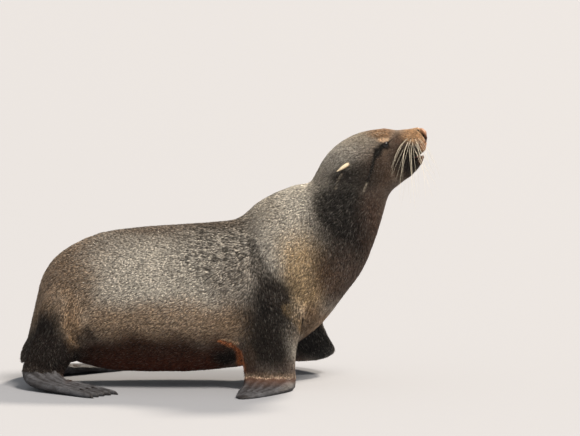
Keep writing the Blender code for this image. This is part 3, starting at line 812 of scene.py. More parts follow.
LEATHER_AT_WRIST = "5c4235"
NOSE_LEATHER = "946a4c"
NOSE_FRONT = "4a2b1e"
MOUTH_LINING = "6e3c37"
LIP = "17100e"
HIDE_SHADE = 0.62  # the hide is darker than the tips of the hair on it
WORN_WIDTH = 0.007  # half width of the worn leather over each digit
STREAK_WIDTH = 0.0009  # of the fine streaks along the digits
# the inside of each nostril is painted near black as the shade in the slit
NOSTRIL_PAINTED_SHADE = 0.0042  # half width of the dark inside of a nostril


def wobble(points, scale):
    """A slow waver between -1 and 1 that keeps the edge of a marking from being a clean ellipse."""
    x, y, z = (points / scale).T
    return (np.sin(x + 1.7 * np.sin(0.8 * z + 0.5 * y)) * np.cos(z + 1.3 * np.sin(0.7 * y + 0.6 * x))
            + 0.5 * np.sin(2.3 * x + 1.9 * z + 2.1 * y + 1.1)) / 1.5


def marking_share(points, centre, radii):
    """1 in the middle of a marking, 0 outside it."""
    x, y, z = points.T
    side = np.abs(y - MIDDLE)
    distance = ((x - centre[0]) / radii[0]) ** 2 + ((z - centre[2]) / radii[2]) ** 2
    if radii[1] != ANY:
        distance = distance + ((side - centre[1]) / radii[1]) ** 2
    reach = min(radii[0], radii[2])
    return 1 - soft_step(np.sqrt(distance) + 0.13 * wobble(points, reach * 0.45), 0.35, 1.1)


def line_share(points, line, width, sides):
    """1 on a line drawn on the side of the body, 0 a width away from it; it thins out to its end."""
    line = np.array([(x, 0.0, z) for x, z in line])
    distance, along = distance_to_line(points * (1, 0, 1), line)
    edge = distance / (width * (1 - 0.55 * along)) + 0.12 * wobble(points, 0.006)
    side = points[:, 1] - MIDDLE
    return (1 - soft_step(edge, 0.35, 1.05)) * (np.abs(side) > 0.03) * np.isin(np.sign(side), sides)


# the colour of the markings, with painted shade and painted light among them
def coat_colour_with_painted_light(points):
    colour = np.tile(linear(FLANK_AND_PAINTED_SHEEN), (len(points), 1))
    for _, centre, radii, code, strength in MARKINGS_WITH_PAINTED_LIGHT:
        colour = blend(colour, linear(code), strength * marking_share(points, centre, radii))
    for _, line, width, sides, code, strength in MARKING_LINES_WITH_PAINTED_LIGHT:
        colour = blend(colour, linear(code), strength * line_share(points, line, width, sides))
    return colour * (1 - 0.8 * pad_dots(points)[:, None])


NOSTRIL_LINES = nostrils()


def nose_share(points):
    """1 on the bare pad round the nostrils."""
    x, y, z = points.T
    side = np.abs(y - MIDDLE)
    front = soft_step((x - 0.5362) + (z - 0.668) * 0.30 - 1.2 * (side / 0.03) ** 4 * 0.01, -0.003, 0.003)
    return front * soft_step(z, 0.649, 0.656) * (1 - soft_step(side, 0.021, 0.026))


def mouth_share(points, normals):
    """The wet lining between the lips."""
    above, side = above_mouth(points), np.abs(points[:, 1] - MIDDLE)
    facing = soft_step(-normals[:, 2] * np.sign(above), 0.2, 0.7)
    return facing * (np.abs(above) < 0.013) * soft_step(points[:, 0], 0.488, 0.500) * (side < 0.045)


def mouth_colour(points, normals):
    """Black lips that turn to a pink lining inwards."""
    above, side = above_mouth(points), np.abs(points[:, 1] - MIDDLE)
    deep = soft_step(-normals[:, 2] * np.sign(above), 0.80, 0.98) * (1 - soft_step(side, 0.024, 0.034))
    return blend(linear(LIP), linear(MOUTH_LINING), deep)


def skin_colour(points, normals):
    """The coat's colour, deeper at its roots, then leather, nose and mouth where there is no fur, and painted
    shade inside the nostrils.
    """
    x, y, z = points.T
    distance, _, _ = digit_distance(points)
    worn = 0.5 * soft_step(wobble(points, 0.011) + 0.6 * wobble(points, 0.004), -0.8, 1.3)
    streaks = 0.22 * np.sin(distance / STREAK_WIDTH + 2.5 * wobble(points, 0.012))
    worn = np.clip(worn + 0.55 * np.exp(-((distance / WORN_WIDTH) ** 2)) - 0.15 + streaks, 0, 1)
    leather = blend(linear(LEATHER), linear(LEATHER_WORN), worn)
    leather = blend(leather, linear(LEATHER_AT_WRIST), soft_step(z, 0.012, 0.034) * (x > 0) * (y < 0))
    nose = blend(linear(NOSE_LEATHER), linear(NOSE_FRONT), soft_step(0.684 - z, 0.0, 0.020))
    colour = blend(coat_colour_with_painted_light(points) * HIDE_SHADE, leather, bare_share(points))
    colour = blend(colour, nose, nose_share(points))
    colour = blend(colour, mouth_colour(points, normals), mouth_share(points, normals))
    # painted shade inside the nostril slits
    dark = np.zeros(len(points))
    for places in NOSTRIL_LINES:
        dark = np.maximum(dark, np.exp(-((distance_to_line(points, places)[0] / NOSTRIL_PAINTED_SHADE) ** 4)))
    return colour * (1 - 0.985 * dark[:, None])


def give_attribute(mesh, name, values):
    """Stores one number or one colour at every point."""
    if values.ndim == 2:
        kind, field, values = "FLOAT_COLOR", "color", np.column_stack([values, np.ones(len(values))])
    else:
        kind, field = "FLOAT", "value"
    mesh.attributes.new(name, kind, "POINT").data.foreach_set(field, values.astype(np.float32).ravel())


points, normals = points_of(skin.data), normals_of(skin.data)
bare, nose, mouth = bare_share(points), nose_share(points), mouth_share(points, normals)
# the marking attribute holds the painted shade and light of the markings along with the coat's own colours
give_attribute(skin.data, "marking", skin_colour(points, normals))
give_attribute(skin.data, "hairless", np.clip(bare + nose + mouth, 0, 1))
give_attribute(skin.data, "fine_grained", np.clip(nose + mouth, 0, 1))
print("markings:", len(MARKINGS_WITH_PAINTED_LIGHT) + len(MARKING_LINES_WITH_PAINTED_LIGHT))

# %% [markdown]
# ## Materials
#
# One small function adds a shader node with its settings and links. The skin has two finishes in one
# material: hide under fur, which is matt, and seal leather, which shines a little and has a crazed grain.

# %% Skin material
def new_material(name):
    material = bpy.data.materials.new(name)
    material.use_nodes = True
    return material, material.node_tree.nodes["Principled BSDF"]


def add_node(material, kind, inputs=None, **settings):
    """A shader node; its inputs take values or the outputs of other nodes."""
    node = material.node_tree.nodes.new("ShaderNode" + kind)
    for name, value in settings.items():
        setattr(node, name, value)
    connect(material, node, inputs or {})
    return node


def connect(material, node, inputs):
    for socket, value in inputs.items():
        if isinstance(value, bpy.types.NodeSocket):
            material.node_tree.links.new(value, node.inputs[socket])
        else:
            node.inputs[socket].default_value = value


def mottled(material, colour, spot, darkest, palest, low=0.0, high=1.0, detail=2.0):
    """A colour varied by noise with spots of one size in metres; gives the colour and the noise."""
    place = add_node(material, "TexCoord").outputs["Object"]
    noise = add_node(material, "TexNoise", {"Vector": place, "Scale": 1 / spot,
                                            "Detail": detail}).outputs["Fac"]
    shade = add_node(material, "MapRange", {"Value": noise, "From Min": low, "From Max": high,
                                            "To Min": darkest, "To Max": palest}).outputs["Result"]
    varied = add_node(material, "VectorMath", {0: colour, 1: shade}, operation="MULTIPLY").outputs["Vector"]
    return varied, noise


CREASE_SPACING = 0.0042  # metres between the creases of the leather
PEBBLE_SPACING = 0.0013  # metres between the pebbles of the nose
HAIR_CLUMP = 0.0055  # metres across a clump of hair; drawn coarser than the hairs, which would not show


def seal_hide():
    """Seal hide: matt under the fur, and a crazed leather with a low shine where it is bare."""
    material, shader = new_material("seal_hide")
    place = add_node(material, "TexCoord").outputs["Object"]
    marking = add_node(material, "Attribute", attribute_name="marking").outputs["Color"]
    hairless = add_node(material, "Attribute", attribute_name="hairless").outputs["Fac"]
    creases = add_node(material, "TexVoronoi", {"Vector": place, "Scale": 1 / CREASE_SPACING},
                       feature="DISTANCE_TO_EDGE").outputs["Distance"]
    creased = add_node(material, "MapRange", {"Value": creases, "From Max": 0.22}).outputs["Result"]
    fine = add_node(material, "Attribute", attribute_name="fine_grained").outputs["Fac"]
    pebbles = add_node(material, "TexNoise", {"Vector": place, "Scale": 1 / PEBBLE_SPACING,
                                              "Detail": 1.0}).outputs["Fac"]
    leather = add_node(material, "Mix", {"Factor": fine, 2: creased, 3: pebbles}).outputs[0]
    clump = add_node(material, "TexNoise", {"Vector": place, "Scale": 1 / HAIR_CLUMP,
                                            "Detail": 3.0}).outputs["Fac"]
    shade = add_node(material, "MapRange", {"Value": clump, "From Min": 0.3, "From Max": 0.7,
                                            "To Min": 0.62, "To Max": 1.25}).outputs["Result"]
    grain = add_node(material, "MapRange", {"Value": leather, "To Min": 0.72, "To Max": 1.08})
    mixed = add_node(material, "Mix", {"Factor": hairless, 2: shade, 3: grain.outputs["Result"]}).outputs[0]
    colour = add_node(material, "VectorMath", {0: marking, 1: mixed}, operation="MULTIPLY").outputs["Vector"]
    height = add_node(material, "Mix", {"Factor": hairless, 2: clump, 3: leather}).outputs[0]
    bump = add_node(material, "Bump", {"Height": height, "Strength": 0.40, "Distance": 0.0010})
    rough = add_node(material, "MapRange", {"Value": hairless, "To Min": 0.85, "To Max": 0.58})
    connect(material, shader, {"Base Color": colour, "Roughness": rough.outputs["Result"],
                               "Normal": bump.outputs["Normal"], "Specular IOR Level": 0.28})
    return material


dress(skin, seal_hide(), "coat", *FLESH)

# %% [markdown]
# ## The lie of the coat
#
# Hair on a seal lies backwards from the nose along the body, and down each limb to the flipper. Lines run
# through the body and the limbs, and a hair follows the lines near it, flattened onto the skin under it.

# %% Hair direction
BODY_LINE = [(0.545, 0, 0.668), (0.500, 0, 0.648), (0.440, 0, 0.630), (0.380, 0, 0.612), (0.330, 0, 0.560),
             (0.295, 0, 0.470), (0.240, 0, 0.370), (0.130, 0, 0.290), (-0.050, 0, 0.245), (-0.300, 0, 0.220),
             (-0.450, 0, 0.190), (-0.550, 0, 0.080)]
HIND_LINE = [(-0.420, 0.09, 0.200), (-0.455, 0.10, 0.110), (-0.480, 0.125, 0.050), (-0.430, 0.20, 0.015)]
ARM_LINES = {
    "right": [(0.120, 0.12, 0.300), (0.128, 0.15, 0.160), (0.128, 0.157, 0.060), (0.105, 0.25, 0.010)],
    "left": [(0.150, 0.11, 0.280), (0.200, 0.15, 0.120), (0.235, 0.175, 0.070), (0.220, 0.26, 0.050)],
}


def line_direction(points, line):
    """The way of a line near each point, and how near the line is."""
    line = np.asarray(line, dtype=float)
    total = np.zeros_like(points)
    nearest = np.full(len(points), np.inf)
    for start, end in zip(line, line[1:]):
        distance, _ = distance_to_segment(points, start, end)
        nearest = np.minimum(nearest, distance)
        way = end - start
        total += (way / np.linalg.norm(way)) / (distance[:, None] ** 3 + 1e-5)
    return total / np.linalg.norm(total, axis=1)[:, None], nearest


def lie_of_hair(points, normals):
    """The way of the hair: along the lines, sinking at the sides, and swirling a little."""
    direction, _ = line_direction(points, [(x, MIDDLE + y, z) for x, y, z in BODY_LINE])
    trunk = 1 - head_share(points)
    direction[:, 2] -= 0.28 * (1 - np.abs(normals[:, 2])) * trunk
    for side, arm_line in ARM_LINES.items():
        for line in (arm_line, HIND_LINE):
            down, distance = line_direction(points, [(x, MIDDLE + SIDES[side] * y, z) for x, y, z in line])
            direction = blend(direction, down, (1 - soft_step(distance, 0.045, 0.105)) * trunk)
    swirl = wobble(points, 0.013)[:, None] * 0.20 + wobble(points[:, ::-1], 0.031)[:, None] * 0.16
    direction = direction + np.cross(normals, direction) * swirl
    direction -= normals * np.sum(direction * normals, axis=1)[:, None]
    return direction / np.maximum(np.linalg.norm(direction, axis=1), 1e-9)[:, None]

# %% [markdown]
# ## Where the hairs stand
#
# A tuft is a flat lock of many hairs. The roots are spread over the skin by area, and then thinned so that no
# two stand in one small cell, which gives an even coat without a regular pattern. The locks are smallest on
# the face. Particle hair would be quicker to comb, but it isn't mesh and doesn't leave Blender.

# %% Roots of the tufts
CANDIDATES = 1500000
# name: (cell in metres that holds one tuft, length, width)
TUFT_SIZES = {"trunk": (0.00305, 0.0145, 0.0023), "head": (0.00210, 0.0075, 0.0015),
              "face": (0.00175, 0.0044, 0.0011), "limb": (0.00275, 0.0090, 0.0019)}
MUZZLE_BACK, EYE_FUR = 0.455, 0.028  # x where the muzzle's short fur begins, and its reach round each eye
NOSTRIL_BARE = 0.0044  # metres round a nostril's line without hair
LEAST_HEIGHT = 0.004  # metres over the floor, under which no tuft has its root
COAT_SEED = 7
rng = np.random.default_rng(COAT_SEED)


def scatter(mesh, count):
    """Random places on a triangle mesh, even by area, with their normals."""
    points, normals = points_of(mesh), normals_of(mesh)
    corners = triangles_of(mesh)
    a, b, c = (points[corners[:, i]] for i in range(3))
    areas = np.linalg.norm(np.cross(b - a, c - a), axis=1) / 2
    chosen = np.searchsorted(np.cumsum(areas), rng.random(count) * areas.sum())
    u, v = rng.random(count), rng.random(count)
    u, v = np.where(u + v > 1, 1 - u, u), np.where(u + v > 1, 1 - v, v)
    weights = np.stack([1 - u - v, u, v], axis=1)
    chosen = corners[np.minimum(chosen, len(corners) - 1)]
    places = sum(points[chosen[:, i]] * weights[:, i:i + 1] for i in range(3))
    ways = sum(normals[chosen[:, i]] * weights[:, i:i + 1] for i in range(3))
    return places, ways / np.linalg.norm(ways, axis=1)[:, None]


def thinned(places, cell):
    """One place in each small cube of space; three large primes turn a cube's three numbers into one."""
    keys = np.floor(places / cell).astype(np.int64)
    keys = (keys[:, 0] * 73856093) ^ (keys[:, 1] * 19349663) ^ (keys[:, 2] * 83492791)
    return np.sort(np.unique(keys, return_index=True)[1])


def furry(places, normals):
    """Whether hair grows there: not on leather, nose, lips, eyes and nostrils, nor right at the floor."""
    grows = (bare_share(places) < 0.5) & (nose_share(places) < 0.4) & (mouth_share(places, normals) < 0.15)
    for side in SIDES:
        grows &= eye_opening(places, side)[0] > 1.3
    for line in NOSTRIL_LINES:
        grows &= distance_to_line(places, line)[0] > NOSTRIL_BARE
    return grows & (places[:, 2] > LEAST_HEIGHT)


places, ways = scatter(skin.data, CANDIDATES)
grows = furry(places, ways)
places, ways = places[grows], ways[grows]
head, limb = head_share(places), limb_share(places)
near_eye = np.minimum(*(np.linalg.norm(places - np.array(eye), axis=1) for eye in EYES.values()))
on_face = (places[:, 0] > MUZZLE_BACK) & (head > 0.5) | (near_eye < EYE_FUR)
kinds = np.select([on_face, head > 0.5, limb > 0.5], [2, 1, 3], 0)  # rows of TUFT_SIZES
chosen = []
for kind, (cell, _, _) in enumerate(TUFT_SIZES.values()):
    members = np.nonzero(kinds == kind)[0]
    chosen.append(members[thinned(places[members], cell)])
    print("tufts on the", list(TUFT_SIZES)[kind] + ":", len(chosen[-1]))
chosen = np.concatenate(chosen)
roots, root_ways = places[chosen], ways[chosen]

# %% [markdown]
# ## The shape of a tuft
#
# A tuft starts at a point in the skin, is widest at its middle, where it has a ridge, and ends in a point.
# That is a closed solid of only six faces, and it bends at its middle. Sizes pass smoothly from one part of
# the body to the next, so no edge shows where the kinds meet. Operators would take many minutes over 190,000
# tufts, so one tuft's faces are repeated with NumPy.

# %% Build tufts
TUFT_FACES = np.array([(0, 3, 1), (0, 2, 3), (0, 1, 2), (4, 1, 3), (4, 3, 2), (4, 2, 1)])
BAKE_PATCH = 0.003  # how wide one tuft is on the bake map


def tuft_measure(places, column):
    """Length or width of the tufts at places, blended between the kinds."""
    size = {name: row[column] for name, row in TUFT_SIZES.items()}
    head, limb = head_share(places), limb_share(places)
    face = soft_step(places[:, 0], 0.40, 0.48) * head
    for eye in EYES.values():
        near = np.linalg.norm(places - np.array(eye), axis=1)
        face = np.maximum(face, 1 - soft_step(near, 0.020, 0.038))
    measure = size["trunk"] * (1 - limb) + size["limb"] * limb
    measure = measure * (1 - head) + size["head"] * head
    return measure * (1 - face) + size["face"] * face


def tuft_points(places, normals, ways, lengths, widths, rise):
    """Five points for each tuft: root, left, right, ridge and tip."""

    def out_at(forward, up):
        return places + ways * (lengths * forward)[:, None] + normals * up[:, None]

    root, tip = out_at(0.0, -widths * 0.3), out_at(1.0, rise)
    middle, ridge = out_at(0.42, rise * 0.62), out_at(0.38, rise * 0.62 + widths * 0.30)
    half = np.cross(normals, ways) * (widths / 2)[:, None]
    return np.stack([root, middle + half, middle - half, ridge, tip], axis=1)


def tuft_mesh(name, corners, colours, uv):
    """Many tufts as one mesh, with colours and a bake map on which each tuft is a small patch."""
    count = len(corners)
    faces = (np.arange(count)[:, None, None] * 5 + TUFT_FACES).reshape(-1, 3)
    mesh = bpy.data.meshes.new(name)
    mesh.vertices.add(count * 5)
    mesh.vertices.foreach_set("co", corners.astype(np.float32).ravel())
    mesh.loops.add(faces.size)
    mesh.loops.foreach_set("vertex_index", faces.astype(np.int32).ravel())
    mesh.polygons.add(len(faces))
    mesh.polygons.foreach_set("loop_start", np.arange(0, faces.size, 3, dtype=np.int32))
    mesh.update(calc_edges=True)
    spread = BAKE_PATCH / 2 * np.array([(-1, 0), (0, 1), (0, -1), (0, 0), (1, 0)])
    patch = (np.clip(uv, 0.002, 0.998)[:, None, :] + spread).reshape(-1, 2)
    mesh.uv_layers.new(name="OFBake").data.foreach_set("uv", patch[faces.ravel()].astype(np.float32).ravel())
    give_attribute(mesh, "marking", colours.reshape(-1, 3))
    return add_object(name, mesh)


# %% [markdown]
# ### A map of the skin for the bake
#
# When the model leaves Blender its colours are painted onto images, and a tuft finds its colour by its place
# on a map. The map is an unwrap of the skin's own shape: a light copy of the skin is unwrapped, and each root
# takes the map place of the nearest spot on that copy.

# %% Bake map
MAP_TRIANGLES = 9000


def unwrapped_copy(obj, triangles):
    """Points, triangles and map places of a light copy of a mesh that is unwrapped and then deleted."""
    copy = add_object("unwrapped", obj.data.copy())
    light = copy.modifiers.new("light", "DECIMATE")
    light.ratio = triangles / len(obj.data.polygons)
    light.use_collapse_triangulate = True
    mesh = evaluated(copy)
    bpy.ops.object.select_all(action="DESELECT")
    copy.select_set(True)
    bpy.context.view_layer.objects.active = copy
    bpy.ops.object.mode_set(mode="EDIT")
    bpy.ops.mesh.select_all(action="SELECT")
    bpy.ops.uv.smart_project(angle_limit=math.radians(66), island_margin=0.004)
    bpy.ops.object.mode_set(mode="OBJECT")
    uv = read(mesh.uv_layers.active.data, "uv", 2).reshape(-1, 3, 2)
    points, corners = points_of(mesh), triangles_of(mesh)
    bpy.data.objects.remove(copy)
    return points, corners, uv


def map_places(places, points, corners, uv):
    """Where each place falls on the unwrap."""
    tree = BVHTree.FromPolygons(points.tolist(), corners.tolist())
    found = np.array([tree.find_nearest(place)[2] for place in places.tolist()])
    a, b, c = (points[corners[found, i]] for i in range(3))
    normal = np.cross(b - a, c - a)
    area = np.einsum("ij,ij->i", normal, normal) + 1e-20
    share_b = np.einsum("ij,ij->i", np.cross(places - a, c - a), normal) / area
    share_c = np.einsum("ij,ij->i", np.cross(b - a, places - a), normal) / area
    weights = np.clip(np.stack([1 - share_b - share_c, share_b, share_c], axis=1), 0, 1)
    weights /= weights.sum(axis=1)[:, None]
    return np.einsum("ij,ijk->ik", weights, uv[found])


root_uv = map_places(roots, *unwrapped_copy(skin, MAP_TRIANGLES))
print("bake map spans", root_uv.min(axis=0).round(3), "to", root_uv.max(axis=0).round(3))

# %% [markdown]
# ## Grow the coat
#
# Seen close, the coat is peppered: dark hairs, brown hairs and pale tips side by side. Each tuft takes the
# marking at its root, a shade of its own, and a paler tip where the coat is silvery.

# %% Coat
PALE_TIP = "efe9de"
WET_PLACE = ((0.0, 0.0, 0.365), (0.17, ANY, 0.13))  # where damp fur stands in dark wavy clumps
SILVER = [((-0.12, 0.0, 0.345), (0.42, ANY, 0.19)), ((0.16, 0.0, 0.48), (0.16, ANY, 0.16)),
          ((0.315, 0.0, 0.65), (0.105, ANY, 0.085))]  # where the hair has silvery tips
LOWEST_HAIR = 0.0006  # metres over the floor
LEAST_RISE = 0.0009  # metres of coat depth that a tuft is given where the coat is thinner than that
SPREAD = 0.16  # radians that a tuft turns away from its neighbours


def guard_hair():
    """Dry seal guard hair: smooth keratin in short flat locks, half matt, with a faint silvery sheen."""
    material, shader = new_material("guard_hair")
    marking = add_node(material, "Attribute", attribute_name="marking").outputs["Color"]
    colour, _ = mottled(material, marking, HAIR_CLUMP, 0.70, 1.28, low=0.32, high=0.68)
    connect(material, shader, {"Base Color": colour, "Roughness": 0.62, "Specular IOR Level": 0.22,
                               "Sheen Weight": 0.04, "Sheen Roughness": 0.4})
    return material


def tuft_colours(places):
    """Colours of the five points of each tuft, from its dark root to its tip."""
    count = len(places)
    # the tufts take the painted shade and light of the markings along with their colours
    base = coat_colour_with_painted_light(places)
    silver = np.max([marking_share(places, centre, radii) for centre, radii in SILVER], axis=0)
    silver = silver * soft_step(base @ (0.3, 0.5, 0.2), 0.03, 0.30)
    pick = rng.random(count)
    shade = rng.uniform(0.78, 1.22, count)
    shade = np.where(pick < 0.26, shade * 0.42, shade)
    waves = np.abs(wobble(places * (0.6, 1, 1), 0.0046))
    wet = marking_share(places, *WET_PLACE) * (1 - soft_step(waves, 0.10, 0.42))
    shade = shade * (1 - 0.80 * wet)
    pale = np.where(pick > 0.60, rng.uniform(0.35, 0.9, count), 0.15)
    pale = pale * (0.03 + 0.97 * silver) * (1 - 0.9 * wet)
    pale = np.where(pick > 0.90, np.maximum(pale, 0.22), pale)
    own = base * shade[:, None]
    tip = blend(own, linear(PALE_TIP), pale)
    return np.stack([own * 0.45, own * 0.95, own * 0.95, (own + tip) / 2 * 1.05, tip * 1.15], axis=1)


def grow(name, places, normals, uv, material):
    """One piece of the coat; each tuft differs a little from its neighbours in lie, size and colour."""
    count = len(places)
    ways = lie_of_hair(places, normals)
    ways = ways + np.cross(normals, ways) * rng.normal(0, SPREAD, count)[:, None]
    ways /= np.linalg.norm(ways, axis=1)[:, None]
    lengths = tuft_measure(places, 1) * rng.uniform(0.75, 1.2, count)
    widths = tuft_measure(places, 2) * rng.uniform(0.75, 1.25, count)
    rise = np.maximum(coat_depth(places), LEAST_RISE) * rng.uniform(0.55, 1.15, count)
    corners = tuft_points(places, normals, ways, lengths, widths, rise)
    corners[:, :, 2] = np.maximum(corners[:, :, 2], LOWEST_HAIR)
    dress(tuft_mesh(name, corners, tuft_colours(places), uv), material, "coat")
    print(name, count, "tufts")


def body_part(places):
    """Which piece of the coat each root belongs to."""
    x, y, z = places.T
    before_neck = (x - 0.220) * 0.274 + (z - 0.566) * 0.182 > 0
    part = np.select(
        [limb_share(places) > 0.5, head_share(places) > 0.5, before_neck, x > -0.046, x > -0.346],
        ["limbs", "head", "neck", "chest", "belly"], "hips",
    )
    return np.char.add(np.char.add(part, "_"), np.where(y > MIDDLE, "left", "right"))


hair = guard_hair()
parts = body_part(roots)
for part in sorted(set(parts)):
    members = parts == part
    grow("coat_" + str(part), roots[members], root_ways[members], root_uv[members], hair)

# %% [markdown]
# ## Eyes
#
# The eye of a seal is large and nearly black, with a wet shine. Each is a ball that bulges over the iris.
# Iris and pupil are rings of colour round the eye's own axis, so one ball and one material do for both.

# %% Eyes
IRIS_HALF_ANGLE = math.radians(44)
PUPIL_HALF_ANGLE = math.radians(17)
IRIS_BROWN = "1d110a"
IRIS_RIM = "0a0604"
PUPIL_BLACK = "020202"
WHITE_OF_EYE = "0a0706"  # in a seal it is dark too
EYEBALL_SIZE = 0.985  # a share of the model's own ball, so that it stays behind the lids
CORNEA_BULGE = 0.05


def wet_eye(side):
    """Eye of a seal: a dark iris under a clear wet cornea."""
    material, shader = new_material("wet_eye_" + side)
    place = add_node(material, "TexCoord").outputs["Object"]
    offset = add_node(material, "VectorMath", {0: place, 1: tuple(EYES[side])},
                      operation="SUBTRACT").outputs["Vector"]
    ray = add_node(material, "VectorMath", {0: offset}, operation="NORMALIZE").outputs["Vector"]
    axis = tuple(eye_axes(SIDES[side])[2])
    cosine = add_node(material, "VectorMath", {0: ray, 1: axis}, operation="DOT_PRODUCT").outputs["Value"]
    ramp = add_node(material, "ValToRGB", {"Fac": cosine})
    stops = [(0.0, WHITE_OF_EYE), (math.cos(IRIS_HALF_ANGLE), IRIS_RIM),
             (math.cos(IRIS_HALF_ANGLE * 0.75), IRIS_BROWN), (math.cos(PUPIL_HALF_ANGLE) - 0.012, IRIS_BROWN),
             (math.cos(PUPIL_HALF_ANGLE), PUPIL_BLACK)]
    while len(ramp.color_ramp.elements) < len(stops):
        ramp.color_ramp.elements.new(0.5)
    for element, (position, code) in zip(ramp.color_ramp.elements, stops):
        element.position = position
        element.color = (*linear(code), 1.0)
    connect(material, shader, {"Base Color": ramp.outputs["Color"], "Roughness": 0.10,
                               "Specular IOR Level": 0.2, "Coat Weight": 0.45, "Coat Roughness": 0.02})
    return material


for side, sign in SIDES.items():
    outward = Vector(eye_axes(sign)[2])
    ball = bmesh.new()
    bmesh.ops.create_uvsphere(ball, u_segments=48, v_segments=32, radius=EYE_RADIUS * EYEBALL_SIZE)
    for vert in ball.verts:
        facing = vert.co.normalized().dot(outward)
        vert.co *= 1 + CORNEA_BULGE * float(soft_step(facing, 0.70, 1.0))
        vert.co += EYES[side]
    dress(add_piece("eyeball_" + side, ball), wet_eye(side), "eye", "eye_" + side)
print("eyeballs:", round(EYE_RADIUS * EYEBALL_SIZE * 2000, 1), "mm across")

# %% [markdown]
# ## Ears
#
# What tells a fur seal from a true seal is its ear: a small leaf of gristle rolled into a scroll, open below.
# A flat grid is rolled up round the line of the ear, more at its root than at its tip, and given a thickness.

# %% Ears
EAR_LENGTH = 0.0470
EAR_ROOT = (0.3440, 0.0830, 0.6035)  # y is the distance from the middle
EAR_TIP = (0.3060, 0.0980, 0.5800)
EAR_THICKNESS = 0.0013
EAR_RADIUS = 0.0054  # of the scroll where it is widest
EAR_ARCH, EAR_SINK = 0.0018, 0.0045  # how far the middle stands out, and how deep the root goes into the skin
EAR_COLOUR = "f4e3c2"
# brown of the ear's root, also used as painted shade on its underside and inside the scroll
EAR_BROWN_AND_PAINTED_SHADE = "7d5730"
FUZZ_SPOT = 1 / 420  # metres, 2.4 mm: locks of the very short fur


def ear_leaf(sign):
    """The rolled leaf of one ear, and its root and tip."""
    root, tip = (np.array((x, MIDDLE + sign * y, z)) for x, y, z in (EAR_ROOT, EAR_TIP))
    along = (tip - root) / np.linalg.norm(tip - root)
    outward = np.array((0.0, sign, 0.25))
    outward -= along * (outward @ along)
    outward /= np.linalg.norm(outward)
    across = np.cross(along, outward)
    leaf = bmesh.new()
    bmesh.ops.create_grid(leaf, x_segments=20, y_segments=14, size=0.5)
    for vert in leaf.verts:
        length, turn = vert.co.x + 0.5, vert.co.y * 2
        radius = EAR_RADIUS * math.sin(math.pi * (0.26 + 0.715 * length)) * (1 - 0.22 * max(0.0, turn))
        angle = turn * math.radians(150 - 75 * length) + math.radians(12)
        out = EAR_ARCH * math.sin(math.pi * length) - EAR_SINK * (1 - length) ** 4
        centre = root + along * (EAR_LENGTH * length) + outward * out
        vert.co = Vector(centre + (outward * math.cos(angle) + across * math.sin(angle)) * radius)
    return leaf, root, tip


def ear_colours_with_painted_shade(points, root, tip):
    """Pale along the upper side; brown at the root, and brown painted shade on the underside and inside the
    scroll.
    """
    along = (points - root) @ (tip - root) / ((tip - root) @ (tip - root))
    above = points[:, 2] - (root + along[:, None] * (tip - root))[:, 2]
    pale = soft_step(above, -0.0040, 0.0010) * soft_step(along, -0.05, 0.30)
    return blend(linear(EAR_BROWN_AND_PAINTED_SHADE), linear(EAR_COLOUR), pale)


def ear_skin():
    """Ear of a fur seal: gristle under very short pale fur."""
    material, shader = new_material("ear_skin")
    marking = add_node(material, "Attribute", attribute_name="marking").outputs["Color"]
    colour, fuzz = mottled(material, marking, FUZZ_SPOT, 0.62, 1.12, low=0.3, high=0.7, detail=3.0)
    bump = add_node(material, "Bump", {"Height": fuzz, "Strength": 0.4, "Distance": 0.0006})
    connect(material, shader, {"Base Color": colour, "Roughness": 0.7, "Normal": bump.outputs["Normal"]})
    return material


gristle = ear_skin()
for side, sign in SIDES.items():
    leaf, root, tip = ear_leaf(sign)
    ear = add_piece("ear_leaf_" + side, leaf)
    thick = ear.modifiers.new("thick", "SOLIDIFY")
    thick.thickness = EAR_THICKNESS
    thick.offset = 0
    evaluated(ear)
    whole = bmesh.new()
    whole.from_mesh(ear.data)
    bmesh.ops.recalc_face_normals(whole, faces=whole.faces)
    whole.to_mesh(ear.data)
    whole.free()
    give_attribute(ear.data, "marking", ear_colours_with_painted_shade(points_of(ear.data), root, tip))
    dress(ear, gristle, "ear_coat", "ear_" + side)
print("ears:", EAR_LENGTH * 1000, "mm long")

# %% [markdown]
# ## Whiskers
#
# A fur seal feels its prey with some twenty long stiff whiskers on each side, in rows on the whisker pad.
# They are cream in an adult and droop in a fan. Each is a thin tapered tube along a curve, made into mesh.

# %% Whiskers
WHISKER_ROOT_RADIUS = 0.00040
WHISKER_LENGTH = 0.105  # of one at the front of a row
WHISKER_LONGER = 0.085  # how much longer those in the middle of a row are
WHISKER_STEPS = 16
STRAND_SINK = 0.002  # how deep a root sits in the skin
WHISKER_SEED = 12
BROW_HAIRS = [(0.428, 0.676, 0.040), (0.436, 0.677, 0.032), (0.420, 0.673, 0.026)]  # x, z and length
tree = skin_tree()
whisker_rng = np.random.default_rng(WHISKER_SEED)


def add_strand(curve, points, radius):
    """One hair along a line of points, which gets thinner to a fifth at its tip."""
    spline = curve.splines.new("POLY")
    spline.points.add(len(points) - 1)
    for index, (point, knot) in enumerate(zip(points, spline.points)):
        knot.co = (*point, 1.0)
        knot.radius = radius * (1 - 0.80 * index / (len(points) - 1))


def strand_mesh(curve):
    """The mesh of a curve's strands; a bevel of one metre makes each point's radius its real one."""
    curve.dimensions = "3D"
    curve.bevel_depth = 1.0
    curve.bevel_resolution = 0
    curve.use_fill_caps = True
    path = add_object("path", curve)
    bpy.context.view_layer.update()
    mesh = bpy.data.meshes.new_from_object(path.evaluated_get(bpy.context.evaluated_depsgraph_get()))
    bpy.data.objects.remove(path)
    return mesh


